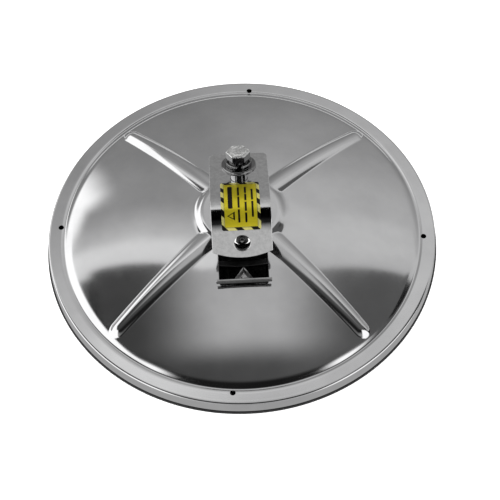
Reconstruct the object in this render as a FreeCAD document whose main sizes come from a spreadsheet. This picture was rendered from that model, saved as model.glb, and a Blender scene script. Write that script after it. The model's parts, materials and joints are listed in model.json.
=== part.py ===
import FreeCAD, Part
import math
import os
import Sketcher

# Round convex mirror head with a ball joint and an angled clamp bracket, glass side down.
# Origin: centre of the arm seat, where the clamp post leaves the bracket's top plate.
# +Z is the bowl's own axis, away from the glass. The bracket leans back from it.

DIMENSIONS = {
    # bracket, in its own frame: origin at the arm seat, z along the post, -y towards the leg
    "bracket_lean": 20.0,
    "bracket_width": 31.75,
    "bracket_sheet": 3.2,
    "plate_back": 23.8,
    "plate_front": 17.9,
    "plate_corner": 3.0,
    "bend_outer_radius": 15.9,
    "bend_angle": 74.0,
    "leg_length": 14.6,
    "leg_end_radius": 38.0,
    "leg_hole_radius": 4.25,
    "leg_hole_drop": 6.4,
    # ball stud
    "seat_above_ball": 26.0,
    "ball_radius": 11.0,
    "neck_radius": 4.0,
    "post_radius": 4.5,
    "post_height": 7.1,
    "post_bore_radius": 3.225,
    "post_bore_floor": 6.5,
    "post_bore_cone": 1.2,
    "post_edge": 0.4,
    "post_hole_radius": 4.55,
    "shoulder_radius": 9.0,
    "shoulder_thickness": 3.0,
    "shoulder_taper": 2.8,
    # clamp bolt and washers
    "washer_gap": 0.05,
    "flat_washer_radius": 9.4,
    "flat_washer_bore": 3.6,
    "flat_washer_thickness": 2.2,
    "flat_washer_bevel": 0.3,
    "lock_washer_radius": 7.1,
    "lock_washer_bore": 3.45,
    "lock_washer_thickness": 2.2,
    "lock_washer_bevel": 0.25,
    "lock_washer_split": 0.9,
    "lock_washer_slant": 0.6,
    "bolt_flats": 11.1,
    "bolt_head_height": 5.4,
    "bolt_head_relief": 1.1,
    "bolt_head_chamfer": 0.9,
    "bolt_point": 0.6,
    "bolt_shank_radius": 3.175,
    "bolt_shank_length": 16.0,
    # label
    "label_width": 20.5,
    "label_thickness": 0.2,
    "label_start": 4.85,
    "label_wrap": 71.0,
    # bowl, in the head's frame: origin at the ball's centre
    "rib_turn": 41.7,
    "drain_turn": 85.0,
    "bowl_sheet": 0.8,
    "dome_radius": 254.0,
    "dome_top": 6.0,
    "boss_top": 7.4,
    "boss_opening": 12.8,
    "boss_flat_radius": 21.2,
    "boss_foot_radius": 23.6,
    "groove_inner_radius": 97.4,
    "groove_outer_radius": 98.9,
    "groove_outside_curve": 1.0,
    "groove_inside_curve": 1.8,
    "flange_level": -14.0,
    "flange_flat_radius": 105.4,
    "band_top_radius": 106.8,
    "band_bottom_radius": 107.3,
    "band_bottom": -21.2,
    "rim_corner": 1.4,
    "drain_circle": 100.2,
    "drain_radius": 1.5,
    "rib_count": 4,
    # glass and gasket
    "glass_curve": 510.0,
    "glass_radius": 104.8,
    "glass_thickness": 2.5,
    "glass_edge": -21.9,
    "gasket_radius": 107.9,
    "gasket_bottom": -23.5,
    "gasket_top": -16.8,
    "gasket_inner_radius": 102.5,
    "gasket_wall_radius": 106.2,
    "gasket_bead": 0.6,
    "gasket_lip": 0.8,
    "gasket_gap": 0.1,
    # ball seats and clamp plates
    "seat_clearance": 0.1,
    "seat_thickness": 1.5,
    "cup_clearance": 0.1,
    "cup_sheet": 1.5,
    "clamp_flange": 5.0,
    "clamp_radius": 21.5,
    "socket_radius": 20.5,
    # tension screws
    "screw_spread": 140.0,
    "screw_circle": 18.0,
    "screw_radius": 2.1,
    "screw_hole_radius": 2.35,
    "screw_head_radius": 3.9,
    "screw_head_height": 2.6,
    "screw_length": 23.6,
    "spring_length": 4.0,
    "spring_radius": 3.9,
    "spring_wire": 0.5,
    "spring_turns": 2.5,
    "spring_gap": 0.05,
    "nut_clearance": 0.02,
    "nut_flats": 7.0,
    "nut_height": 3.2,
    # stop plate
    "stop_sheet": 2.0,
    "stop_width": 26.5,
    "stop_inner": 13.4,
    "stop_fold": 22.0,
    "stop_lip_face": 43.8,
    "stop_lip_width": 29.5,
    "stop_lip_sheet": 1.2,
    "stop_lip_top": 7.3,
    "stop_lip_bottom": 4.5,
    "stop_lip_crown": 0.5,
    "stop_lip_root": 0.6,
    "stop_end_level": 5.5,
    "dart_reach": 7.6,
    "dart_half_width": 5.9,
    "dart_height": 2.3,
    "stop_screw_radius": 6.0,
    "stop_screw_height": 3.2,
}

SHEET = "Dimensions"
LEFT, RIGHT = 1, -1
OVERCUT = 2.0  # how far a cut runs past the sheet it goes through
LEG_TRIM = 0.02  # the leg's round end just touches the strip's square one


class Size:
    """A length or angle: its value, and the same thing as an expression over the sheet."""

    def __init__(self, value, text):
        self.value = value
        self.text = text

    def join(self, other, value, sign):
        other_text = other.text if isinstance(other, Size) else str(other)
        return Size(value, f"({self.text} {sign} {other_text})")

    def __add__(self, other):
        return self.join(other, self.value + number(other), "+")

    def __sub__(self, other):
        return self.join(other, self.value - number(other), "-")

    def __mul__(self, other):
        return self.join(other, self.value * number(other), "*")

    def __truediv__(self, other):
        return self.join(other, self.value / number(other), "/")

    def __neg__(self):
        return Size(-self.value, f"(0 - {self.text})")

    def root(self):
        return Size(math.sqrt(self.value), f"sqrt({self.text})")

    def sine(self):
        return Size(math.sin(math.radians(self.value)), f"sin({self.text})")

    def cosine(self):
        return Size(math.cos(math.radians(self.value)), f"cos({self.text})")


def number(size):
    return size.value if isinstance(size, Size) else size


def dim(name):
    return Size(DIMENSIONS[name], f"{SHEET}.{name}")


def fixed(value):
    return Size(value, str(value))


def make_sheet(document):
    sheet = document.addObject("Spreadsheet::Sheet", SHEET)
    for row, (name, value) in enumerate(DIMENSIONS.items(), start=1):
        sheet.set(f"A{row}", name)
        sheet.set(f"B{row}", str(value))
        sheet.setAlias(f"B{row}", name)
    document.recompute()
    return sheet


# ---------------------------------------------------------------- sketches and features

def new_body(document, name, placement):
    body = document.addObject("PartDesign::Body", name)
    body.Label = name
    body.Placement = placement
    return body


def origin_plane(body, role):
    for feature in body.Origin.OriginFeatures:
        if feature.Role == role:
            return feature
    raise ValueError(f"no origin feature {role}")


def new_sketch(body, name, role, offset=0.0):
    sketch = body.newObject("Sketcher::SketchObject", name)
    sketch.AttachmentSupport = [(origin_plane(body, role), "")]
    sketch.MapMode = "FlatFace"
    sketch.AttachmentOffset = FreeCAD.Placement(FreeCAD.Vector(0, 0, offset), FreeCAD.Rotation())
    return sketch


def bind(sketch, constraint, size):
    index = sketch.addConstraint(constraint)
    if isinstance(size, Size):
        sketch.setExpression(f"Constraints[{index}]", size.text)


def arc_between(start, end, radius, side):
    """Arc from start to end, bulging LEFT or RIGHT of the chord, drawn anticlockwise."""
    chord = end - start
    half = chord.Length / 2
    left = FreeCAD.Vector(-chord.y, chord.x, 0).normalize()
    centre = (start + end) * 0.5 - left * math.sqrt(radius * radius - half * half) * side
    first, last = (start, end) if side == RIGHT else (end, start)
    angles = [math.atan2(point.y - centre.y, point.x - centre.x) for point in (first, last)]
    circle = Part.Circle(centre, FreeCAD.Vector(0, 0, 1), radius)
    return Part.ArcOfCircle(circle, angles[0], angles[1])


def draw_profile(sketch, corners):
    """Closed outline. A corner is (x, y), or (x, y, radius, side) where an arc leaves it."""
    points = [FreeCAD.Vector(number(corner[0]), number(corner[1]), 0) for corner in corners]
    curves, starts = [], []
    for index, corner in enumerate(corners):
        start, end = points[index], points[(index + 1) % len(points)]
        if len(corner) == 4:
            curves.append(arc_between(start, end, number(corner[2]), corner[3]))
        else:
            curves.append(Part.LineSegment(start, end))
        starts.append(2 if len(corner) == 4 and corner[3] == LEFT else 1)
    sketch.addGeometry(curves)
    for index, start in enumerate(starts):
        following = (index + 1) % len(curves)
        sketch.addConstraint(Sketcher.Constraint(
            "Coincident", index, 3 - start, following, starts[following]))
    for index, corner in enumerate(corners):
        place_point(sketch, index, starts[index], corner)
        if len(corner) == 4:
            bind(sketch, Sketcher.Constraint("Radius", index, number(corner[2])), corner[2])


def place_point(sketch, edge, end, corner):
    for axis, kind, size in ((-2, "DistanceX", corner[0]), (-1, "DistanceY", corner[1])):
        if number(size) == 0:
            sketch.addConstraint(Sketcher.Constraint("PointOnObject", edge, end, axis))
        else:
            bind(sketch, Sketcher.Constraint(kind, edge, end, number(size)), size)


def draw_circle(sketch, x, y, radius):
    edge = sketch.addGeometry(Part.Circle(
        FreeCAD.Vector(number(x), number(y), 0), FreeCAD.Vector(0, 0, 1), number(radius)))
    bind(sketch, Sketcher.Constraint("Radius", edge, number(radius)), radius)
    place_point(sketch, edge, 3, (x, y))


def revolve(body, corners, name="Turned"):
    """Full turn of an outline given as (radius, height) about the body's z axis."""
    sketch = new_sketch(body, name + "Outline", "XZ_Plane")
    draw_profile(sketch, corners)
    feature = body.newObject("PartDesign::Revolution", name)
    feature.Profile = sketch
    feature.ReferenceAxis = (sketch, ["V_Axis"])
    feature.Angle = 360.0
    return feature


def pad(body, sketch, length, name, midplane=False):
    feature = body.newObject("PartDesign::Pad", name)
    feature.Profile = sketch
    feature.Length = number(length)
    if isinstance(length, Size):
        feature.setExpression("Length", length.text)
    feature.Midplane = midplane
    return feature


def polar(body, features, count, name):
    feature = body.newObject("PartDesign::PolarPattern", name)
    feature.Originals = features
    feature.Axis = (origin_plane(body, "Z_Axis"), [""])
    feature.Angle = 360.0
    feature.Occurrences = count
    body.Tip = feature
    return feature


def face_with_normal(shape, normal):
    """The planar face that looks most nearly along normal, the furthest out of those."""
    best = None
    for index, face in enumerate(shape.Faces, start=1):
        if not isinstance(face.Surface, Part.Plane):
            continue
        middle = face.CenterOfMass
        outward = face.normalAt(*face.Surface.parameter(middle))
        if outward.getAngle(normal) < math.radians(0.5):
            reach = middle.dot(normal)
            if best is None or reach > best[0]:
                best = (reach, f"Face{index}")
    return best[1]


def at(x, y, z, axis=(0, 0, 1), angle=0.0):
    return FreeCAD.Placement(FreeCAD.Vector(x, y, z), FreeCAD.Rotation(FreeCAD.Vector(*axis), angle))


def bracket_place():
    return at(0, 0, 0, (1, 0, 0), -DIMENSIONS["bracket_lean"])


def head_place(turn=0.0):
    """The head's frame: origin at the ball's centre, z along the bowl's axis."""
    ball = bracket_place().multVec(FreeCAD.Vector(0, 0, -DIMENSIONS["seat_above_ball"]))
    return at(ball.x, ball.y, ball.z, (0, 0, 1), turn)


# ---------------------------------------------------------------- bracket side

def bend_point(radius, along_leg=0.0):
    """A point on the bracket's section at the end of the bend, then along the leg."""
    angle = dim("bend_angle")
    y = -dim("plate_front") - angle.sine() * radius - angle.cosine() * along_leg
    z = -dim("bend_outer_radius") + angle.cosine() * radius - angle.sine() * along_leg
    return y, z


def make_mount_bracket(document):
    body = new_body(document, "mount_bracket", bracket_place())
    sheet = dim("bracket_sheet")
    outer = dim("bend_outer_radius")
    inner = outer - sheet
    section = new_sketch(body, "BracketSection", "YZ_Plane")
    draw_profile(section, [
        (dim("plate_back"), fixed(0)),
        (-dim("plate_front"), fixed(0), outer, RIGHT),
        bend_point(outer),
        bend_point(outer, dim("leg_length")),
        bend_point(inner, dim("leg_length")),
        (*bend_point(inner), inner, LEFT),
        (-dim("plate_front"), -sheet),
        (dim("plate_back"), -sheet),
    ])
    pad(body, section, dim("bracket_width"), "BracketStrip", midplane=True)
    post_hole = new_sketch(body, "PostHole", "XY_Plane")
    draw_circle(post_hole, fixed(0), fixed(0), dim("post_hole_radius"))
    post_cut = body.newObject("PartDesign::Pocket", "PostHoleCut")
    post_cut.Profile = post_hole
    post_cut.Length = DIMENSIONS["bracket_sheet"] + OVERCUT
    document.recompute()
    shape_leg(document, body, post_cut)
    round_plate_corners(document, body)
    return body


def shape_leg(document, body, base):
    """Drill the leg's hole and round its free end, both square to the leg."""
    angle = math.radians(DIMENSIONS["bend_angle"])
    normal = FreeCAD.Vector(0, -math.sin(angle), math.cos(angle))
    down = FreeCAD.Vector(0, -math.cos(angle), -math.sin(angle))
    start = FreeCAD.Vector(0, *[number(value) for value in bend_point(dim("bend_outer_radius"))])
    sketch = body.newObject("Sketcher::SketchObject", "LegCuts")
    sketch.AttachmentSupport = [(base, face_with_normal(base.Shape, normal))]
    sketch.MapMode = "FlatFace"
    document.recompute()
    to_sketch = sketch.Placement.inverse()
    centre = to_sketch.multVec(start + down * DIMENSIONS["leg_hole_drop"])
    hole = sketch.addGeometry(Part.Circle(centre, FreeCAD.Vector(0, 0, 1), DIMENSIONS["leg_hole_radius"]))
    bind(sketch, Sketcher.Constraint("Radius", hole, DIMENSIONS["leg_hole_radius"]), dim("leg_hole_radius"))
    draw_leg_end(sketch, to_sketch, start, down)
    cut = body.newObject("PartDesign::Pocket", "LegCut")
    cut.Profile = sketch
    cut.Length = DIMENSIONS["bracket_sheet"] + OVERCUT
    cut.setExpression("Length", f"{SHEET}.bracket_sheet + {OVERCUT}")


def draw_leg_end(sketch, to_sketch, start, down):
    """Outline of what is cut away beyond the leg's round end."""
    across = FreeCAD.Vector(1, 0, 0)
    radius = DIMENSIONS["leg_end_radius"]
    half = DIMENSIONS["bracket_width"] / 2 + OVERCUT
    tip = start + down * (DIMENSIONS["leg_length"] - LEG_TRIM)
    corner = tip - down * (radius - math.sqrt(radius * radius - half * half))
    below = start + down * (DIMENSIONS["leg_length"] + OVERCUT)
    spots = [corner - across * half, tip, corner + across * half, below + across * half,
             below - across * half]
    left, middle, right, low_right, low_left = [to_sketch.multVec(spot) for spot in spots]
    sketch.addGeometry([
        Part.Arc(left, middle, right),
        Part.LineSegment(right, low_right),
        Part.LineSegment(low_right, low_left),
        Part.LineSegment(low_left, left),
    ])


def round_plate_corners(document, body):
    """Round the two upright edges at the plate's far end."""
    document.recompute()
    base = body.Tip
    far, wide = DIMENSIONS["plate_back"], DIMENSIONS["bracket_width"] / 2
    names = []
    for index, edge in enumerate(base.Shape.Edges, start=1):
        middle = edge.CenterOfMass
        if abs(middle.y - far) < 0.01 and abs(abs(middle.x) - wide) < 0.01:
            names.append(f"Edge{index}")
    fillet = body.newObject("PartDesign::Fillet", "PlateCorners")
    fillet.Base = (base, names)
    fillet.Radius = DIMENSIONS["plate_corner"]
    fillet.setExpression("Radius", f"{SHEET}.plate_corner")


def make_ball_stud(document):
    body = new_body(document, "ball_stud", bracket_place())
    ball = dim("ball_radius")
    neck = dim("neck_radius")
    edge = dim("post_edge")
    centre = -dim("seat_above_ball")
    ball_top = centre + (ball * ball - neck * neck).root()
    under_plate = -dim("bracket_sheet")
    shoulder_foot = under_plate - dim("shoulder_thickness")
    neck_top = shoulder_foot - dim("shoulder_taper")
    revolve(body, [
        (fixed(0), -dim("post_bore_floor") - dim("post_bore_cone")),
        (dim("post_bore_radius"), -dim("post_bore_floor")),
        (dim("post_bore_radius"), dim("post_height") - edge),
        (dim("post_bore_radius") + edge, dim("post_height")),
        (dim("post_radius") - edge, dim("post_height")),
        (dim("post_radius"), dim("post_height") - edge),
        (dim("post_radius"), under_plate),
        (dim("shoulder_radius"), under_plate),
        (dim("shoulder_radius"), shoulder_foot),
        (neck, neck_top),
        (neck, ball_top, ball, LEFT),
        (fixed(0), centre - ball),
    ])
    return body


def make_safety_label(document):
    body = new_body(document, "safety_label", bracket_place())
    thick = dim("label_thickness")
    inner = dim("bend_outer_radius")
    outer = inner + thick
    wrap = dim("label_wrap")
    centre_y, centre_z = -dim("plate_front"), -inner
    section = new_sketch(body, "LabelSection", "YZ_Plane")
    draw_profile(section, [
        (-dim("label_start"), fixed(0)),
        (-dim("label_start"), thick),
        (centre_y, thick, outer, RIGHT),
        (centre_y - wrap.sine() * outer, centre_z + wrap.cosine() * outer),
        (centre_y - wrap.sine() * inner, centre_z + wrap.cosine() * inner, inner, LEFT),
        (centre_y, fixed(0)),
    ])
    pad(body, section, dim("label_width"), "LabelStrip", midplane=True)
    return body


# ---------------------------------------------------------------- clamp bolt

def washer_levels():
    flat_bottom = dim("post_height") + dim("washer_gap")
    flat_top = flat_bottom + dim("flat_washer_thickness")
    lock_top = flat_top + dim("lock_washer_thickness")
    return flat_bottom, flat_top, lock_top


def ring_outline(inner, outer, low, high, bevel):
    return [(inner, low), (outer - bevel, low), (outer, low + bevel), (outer, high - bevel),
            (outer - bevel, high), (inner, high)]


def make_flat_washer(document):
    low, high, _ = washer_levels()
    body = new_body(document, "flat_washer", bracket_place())
    revolve(body, ring_outline(dim("flat_washer_bore"), dim("flat_washer_radius"), low, high,
                               dim("flat_washer_bevel")))
    return body


def make_lock_washer(document):
    """Split spring washer: a square-section ring with a slanted gap."""
    _, low, high = washer_levels()
    body = new_body(document, "lock_washer", bracket_place())
    revolve(body, ring_outline(dim("lock_washer_bore"), dim("lock_washer_radius"), low, high,
                               dim("lock_washer_bevel")))
    split = new_sketch(body, "Split", "XZ_Plane")
    half = dim("lock_washer_split") / 2
    lean = dim("lock_washer_slant")
    draw_profile(split, [
        (-half - lean, low - OVERCUT), (half - lean, low - OVERCUT), (half + lean, high + OVERCUT),
        (-half + lean, high + OVERCUT),
    ])
    cut = body.newObject("PartDesign::Pocket", "SplitCut")
    cut.Profile = split
    cut.Length = DIMENSIONS["lock_washer_radius"] + OVERCUT
    cut.Reversed = True
    return body


def hexagon(sketch, flats):
    """Regular hexagon across flats, one flat facing along -y."""
    reach = number(flats) / math.sqrt(3)
    corners = [FreeCAD.Vector(reach * math.cos(math.radians(60 * step)),
                              reach * math.sin(math.radians(60 * step)), 0) for step in range(6)]
    edges = sketch.addGeometry([Part.LineSegment(corners[step], corners[(step + 1) % 6])
                                for step in range(6)])
    circle = sketch.addGeometry(Part.Circle(FreeCAD.Vector(0, 0, 0), FreeCAD.Vector(0, 0, 1), reach))
    sketch.toggleConstruction(circle)
    sketch.addConstraint(Sketcher.Constraint("Coincident", circle, 3, -1, 1))
    for step, edge in enumerate(edges):
        sketch.addConstraint(Sketcher.Constraint("Coincident", edge, 2, edges[(step + 1) % 6], 1))
        sketch.addConstraint(Sketcher.Constraint("PointOnObject", edge, 1, circle))
        if step:
            sketch.addConstraint(Sketcher.Constraint("Equal", edges[0], edge))
    bind(sketch, Sketcher.Constraint("Radius", circle, reach), flats / math.sqrt(3))


def make_hex_bolt(document):
    _, _, seat = washer_levels()
    body = new_body(document, "hex_bolt", bracket_place())
    top = seat + dim("bolt_head_height")
    tip = seat - dim("bolt_shank_length")
    shank = dim("bolt_shank_radius")
    corner = dim("bolt_flats") / math.sqrt(3)
    relief = dim("bolt_head_relief")
    land = corner - dim("bolt_head_chamfer")
    flat = new_sketch(body, "HexOutline", "XY_Plane", number(seat + relief))
    flat.setExpression("AttachmentOffset.Base.z", (seat + relief).text)
    hexagon(flat, dim("bolt_flats"))
    pad(body, flat, dim("bolt_head_height") - relief, "HexHead")
    outside = new_sketch(body, "HeadChamfer", "XZ_Plane")
    draw_profile(outside, [
        (land, top + OVERCUT), (land, top), (corner + OVERCUT, top - dim("bolt_head_chamfer") - OVERCUT / 2),
        (corner + OVERCUT, top + OVERCUT),
    ])
    groove = body.newObject("PartDesign::Groove", "HeadChamferCut")
    groove.Profile = outside
    groove.ReferenceAxis = (outside, ["V_Axis"])
    groove.Angle = 360.0
    stem = new_sketch(body, "StemOutline", "XZ_Plane")
    draw_profile(stem, [
        (fixed(0), tip), (shank - dim("bolt_point"), tip), (shank, tip + dim("bolt_point")), (shank, seat),
        (land, seat), (land, seat + relief * 1.5), (fixed(0), seat + relief * 1.5),
    ])
    turned = body.newObject("PartDesign::Revolution", "Stem")
    turned.Profile = stem
    turned.ReferenceAxis = (stem, ["V_Axis"])
    turned.Angle = 360.0
    return body


# ---------------------------------------------------------------- bowl, gasket and glass

def dome_height(radius, sink=0.0):
    """Height of the dome's outside at a radius; sink moves to the sheet's inside."""
    curve = dim("dome_radius") - sink
    return (curve * curve - radius * radius).root() + dim("dome_top") - dim("dome_radius")


def make_back_bowl(document):
    body = new_body(document, "back_bowl", head_place(DIMENSIONS["rib_turn"]))
    sheet = dim("bowl_sheet")
    flange, band = dim("flange_level"), dim("band_bottom")
    groove_in, groove_out = dim("groove_inner_radius"), dim("groove_outer_radius")
    foot, corner = dim("boss_foot_radius"), dim("rim_corner")
    inner_groove_in, inner_groove_out = groove_in - sheet, groove_out + sheet
    inner_foot = foot - sheet / 2
    revolve(body, [
        (dim("boss_opening"), dim("boss_top")),
        (dim("boss_flat_radius"), dim("boss_top")),
        (foot, dome_height(foot), dim("dome_radius"), LEFT),
        (groove_in, dome_height(groove_in), dim("groove_outside_curve"), RIGHT),
        (groove_out, flange),
        (dim("flange_flat_radius"), flange, corner, LEFT),
        (dim("band_top_radius"), flange - corner),
        (dim("band_bottom_radius"), band),
        (dim("band_bottom_radius") - sheet, band),
        (dim("band_top_radius") - sheet, flange - corner, corner - sheet, RIGHT),
        (dim("flange_flat_radius"), flange - sheet),
        (inner_groove_out, flange - sheet, dim("groove_inside_curve"), LEFT),
        (inner_groove_in, dome_height(inner_groove_in, sheet), dim("dome_radius") - sheet, RIGHT),
        (inner_foot, dome_height(inner_foot, sheet)),
        (dim("boss_flat_radius") - sheet / 2, dim("boss_top") - sheet),
        (dim("boss_opening"), dim("boss_top") - sheet),
    ], "Shell")
    add_ribs(body)
    drain_holes(body)
    screw_holes(body, sheet + OVERCUT, DIMENSIONS["rib_turn"])
    return body


# Pressed ribs: at each radius, the half width and the height above the dome.
RIB_STATIONS = ((20.5, 6.0, 1.3), (34.0, 5.8, 1.4), (58.0, 5.1, 1.7), (80.0, 4.5, 1.8), (91.5, 3.6, 1.5),
                (94.5, 1.6, 0.4))
RIB_ROOT = 0.4  # how far a rib's foot sinks into the sheet


def add_ribs(body):
    """Round-topped ribs, lofted along the x axis from the boss outwards, then repeated."""
    sections = []
    for step, (radius, half, rise) in enumerate(RIB_STATIONS):
        sketch = new_sketch(body, f"RibSection{step}", "YZ_Plane", radius)
        surface = number(dome_height(fixed(radius)))
        left = FreeCAD.Vector(-half, surface - RIB_ROOT, 0)
        crown = FreeCAD.Vector(0, surface + rise, 0)
        right = FreeCAD.Vector(half, surface - RIB_ROOT, 0)
        sketch.addGeometry([Part.Arc(left, crown, right), Part.LineSegment(right, left)])
        sections.append(sketch)
    loft = body.newObject("PartDesign::AdditiveLoft", "Rib")
    loft.Profile = sections[0]
    loft.Sections = sections[1:]
    polar(body, [loft], DIMENSIONS["rib_count"], "Ribs")


def drain_holes(body):
    sketch = new_sketch(body, "DrainHole", "XY_Plane", DIMENSIONS["flange_level"] + OVERCUT)
    angle = dim("drain_turn") - dim("rib_turn")
    draw_circle(sketch, dim("drain_circle") * angle.cosine(), dim("drain_circle") * angle.sine(),
                dim("drain_radius"))
    cut = body.newObject("PartDesign::Pocket", "DrainHoleCut")
    cut.Profile = sketch
    cut.Length = DIMENSIONS["bowl_sheet"] + 2 * OVERCUT
    polar(body, [cut], DIMENSIONS["rib_count"], "DrainHoles")


def screw_holes(body, depth, turn=0.0):
    """Clearance holes for the three screws, from above the boss down to a depth."""
    sketch = new_sketch(body, "ScrewHole", "XY_Plane", DIMENSIONS["boss_top"] + OVERCUT / 2)
    for angle in screw_angles():
        angle = math.radians(angle - turn)
        circle = dim("screw_circle")
        draw_circle(sketch, circle * math.cos(angle), circle * math.sin(angle), dim("screw_hole_radius"))
    cut = body.newObject("PartDesign::Pocket", "ScrewHoleCut")
    cut.Profile = sketch
    cut.Length = number(depth)


def make_edge_gasket(document):
    """Rubber channel round the glass, with a bead that shows below the bowl's band."""
    body = new_body(document, "edge_gasket", head_place())
    inner, wall = dim("gasket_inner_radius"), dim("gasket_wall_radius")
    glass = dim("glass_radius")
    top, bottom, bead = dim("gasket_top"), dim("gasket_bottom"), dim("gasket_bead")
    lip, gap = dim("gasket_lip"), dim("gasket_gap")
    shoulder = dim("band_bottom") - gap
    back = dim("glass_edge") + dim("glass_thickness")
    revolve(body, [
        (inner, top),
        (wall - lip, top),
        (wall - lip / 2, dim("band_bottom") + lip),
        (wall, shoulder),
        (dim("gasket_radius") - bead, shoulder),
        (dim("gasket_radius"), shoulder - bead),
        (dim("gasket_radius"), bottom + bead),
        (dim("gasket_radius") - bead, bottom),
        (inner, bottom),
        (inner, dim("glass_edge") - bead),
        (glass + gap / 2, dim("glass_edge") - gap),
        (glass + gap / 2, back + gap),
        (inner, back + gap),
    ])
    return body


def make_mirror_glass(document):
    """Convex glass, bulging away from the bowl."""
    body = new_body(document, "mirror_glass", head_place())
    front, thick = dim("glass_curve"), dim("glass_thickness")
    radius = dim("glass_radius")
    back = front - thick
    centre = dim("glass_edge") + (front * front - radius * radius).root()
    back_edge = centre - (back * back - radius * radius).root()
    revolve(body, [
        (fixed(0), centre - back, back, RIGHT),
        (radius, back_edge),
        (radius, dim("glass_edge"), front, LEFT),
        (fixed(0), centre - front),
    ])
    return body


# ---------------------------------------------------------------- ball seats and clamp plates

# Where each ring or cup starts and ends round the ball, in degrees from the bowl's axis.
UPPER_SEAT = (57.0, 86.0)
LOWER_SEAT = (99.0, 152.0)
SOCKET_START, SOCKET_END = 58.0, 88.0
PRESSURE_START, PRESSURE_END = 97.0, 158.0


def on_sphere(radius, polar_angle):
    angle = fixed(polar_angle)
    return radius * angle.sine(), radius * angle.cosine()


def make_seat(document, name, first_angle, last_angle):
    """Nylon ring between the ball and a clamp plate, bounded by two concentric spheres."""
    body = new_body(document, name, head_place())
    inner = dim("ball_radius") + dim("seat_clearance")
    outer = inner + dim("seat_thickness")
    revolve(body, [
        on_sphere(inner, first_angle),
        (*on_sphere(outer, first_angle), outer, LEFT),
        on_sphere(outer, last_angle),
        (*on_sphere(inner, last_angle), inner, RIGHT),
    ])
    return body


def cup_radii():
    inner = dim("ball_radius") + dim("seat_clearance") + dim("seat_thickness") + dim("cup_clearance")
    return inner, inner + dim("cup_sheet")


def make_socket_plate(document):
    """Steel plate under the boss: a spherical collar over the ball, with a screw flange."""
    body = new_body(document, "socket_plate", head_place())
    inner, outer = cup_radii()
    top = dim("boss_top") - dim("bowl_sheet")
    low = top - dim("cup_sheet")
    flange_at_top = (outer * outer - top * top).root()
    flange_at_low = (outer * outer - low * low).root()
    revolve(body, [
        (*on_sphere(inner, SOCKET_END), inner, RIGHT),
        on_sphere(inner, SOCKET_START),
        (*on_sphere(outer, SOCKET_START), outer, LEFT),
        (flange_at_top, top),
        (dim("socket_radius"), top),
        (dim("socket_radius"), low),
        (flange_at_low, low, outer, LEFT),
        on_sphere(outer, SOCKET_END),
    ])
    screw_holes(body, dim("bowl_sheet") + dim("cup_sheet") + OVERCUT)
    return body


def make_pressure_plate(document):
    """Steel cup that the three screws draw up against the ball's far side."""
    body = new_body(document, "pressure_plate", head_place())
    inner, outer = cup_radii()
    top = -dim("clamp_flange")
    low = top - dim("cup_sheet")
    flange_at_top = (outer * outer - top * top).root()
    flange_at_low = (outer * outer - low * low).root()
    revolve(body, [
        (*on_sphere(inner, PRESSURE_START), inner, LEFT),
        on_sphere(inner, PRESSURE_END),
        (*on_sphere(outer, PRESSURE_END), outer, RIGHT),
        (flange_at_low, low),
        (dim("clamp_radius"), low),
        (dim("clamp_radius"), top),
        (flange_at_top, top, outer, RIGHT),
        on_sphere(outer, PRESSURE_START),
    ])
    screw_holes(body, dim("boss_top") - low + OVERCUT)
    return body


def screw_angles():
    """One screw under the leg, the other two under the top plate."""
    spread = DIMENSIONS["screw_spread"]
    return [-90.0, -90.0 + spread, -90.0 - spread]


def screw_spots():
    for angle in screw_angles():
        turn = math.radians(angle)
        yield DIMENSIONS["screw_circle"] * math.cos(turn), DIMENSIONS["screw_circle"] * math.sin(turn)


# Cross recess of a pan head: its reach and depth as shares of the head, and its width.
CROSS_REACH, CROSS_DEPTH, CROSS_WIDTH = 1.1, 0.42, 0.9


def domed_head(radius, height, seat):
    """Plain domed screw head on a plane at seat."""
    crown = (radius * radius + height * height) / (2 * height)
    ball = Part.makeSphere(crown, FreeCAD.Vector(0, 0, seat + height - crown))
    stock = Part.makeCylinder(radius, height, FreeCAD.Vector(0, 0, seat))
    return stock.common(ball)


def pan_head(radius, height, seat):
    """Domed screw head with a cross recess."""
    arm, width, depth = radius * CROSS_REACH, CROSS_WIDTH, height * CROSS_DEPTH
    slot = Part.makeBox(arm, width, height, FreeCAD.Vector(-arm / 2, -width / 2, seat + height - depth))
    cross = slot.fuse(slot.copy().rotate(FreeCAD.Vector(0, 0, 0), FreeCAD.Vector(0, 0, 1), 90))
    return domed_head(radius, height, seat).cut(cross)


def screw_shape(x, y, seat, head, length):
    shank = Part.makeCylinder(DIMENSIONS["screw_radius"], length, FreeCAD.Vector(0, 0, seat - length))
    screw = head.fuse(shank).removeSplitter()
    screw.translate(FreeCAD.Vector(x, y, 0))
    return screw


def new_feature(document, name, shape, placement):
    feature = document.addObject("Part::Feature", name)
    feature.Label = name
    feature.Shape = shape
    feature.Placement = placement.multiply(shape.Placement)
    return feature


def make_screws(document):
    """Two pan-head screws on the boss, and the larger domed one that also holds the stop plate."""
    spots = list(screw_spots())
    on_stop = DIMENSIONS["boss_top"] + DIMENSIONS["stop_sheet"]
    dome = domed_head(DIMENSIONS["stop_screw_radius"], DIMENSIONS["stop_screw_height"], on_stop)
    stop_screw = screw_shape(*spots[0], on_stop, dome, DIMENSIONS["screw_length"] + DIMENSIONS["stop_sheet"])
    pan = pan_head(DIMENSIONS["screw_head_radius"], DIMENSIONS["screw_head_height"], DIMENSIONS["boss_top"])
    pair = [screw_shape(*spot, DIMENSIONS["boss_top"], pan, DIMENSIONS["screw_length"]) for spot in spots[1:]]
    return [new_feature(document, "stop_screw", stop_screw, head_place()),
            new_feature(document, "tension_screws", Part.makeCompound(pair), head_place())]


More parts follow.
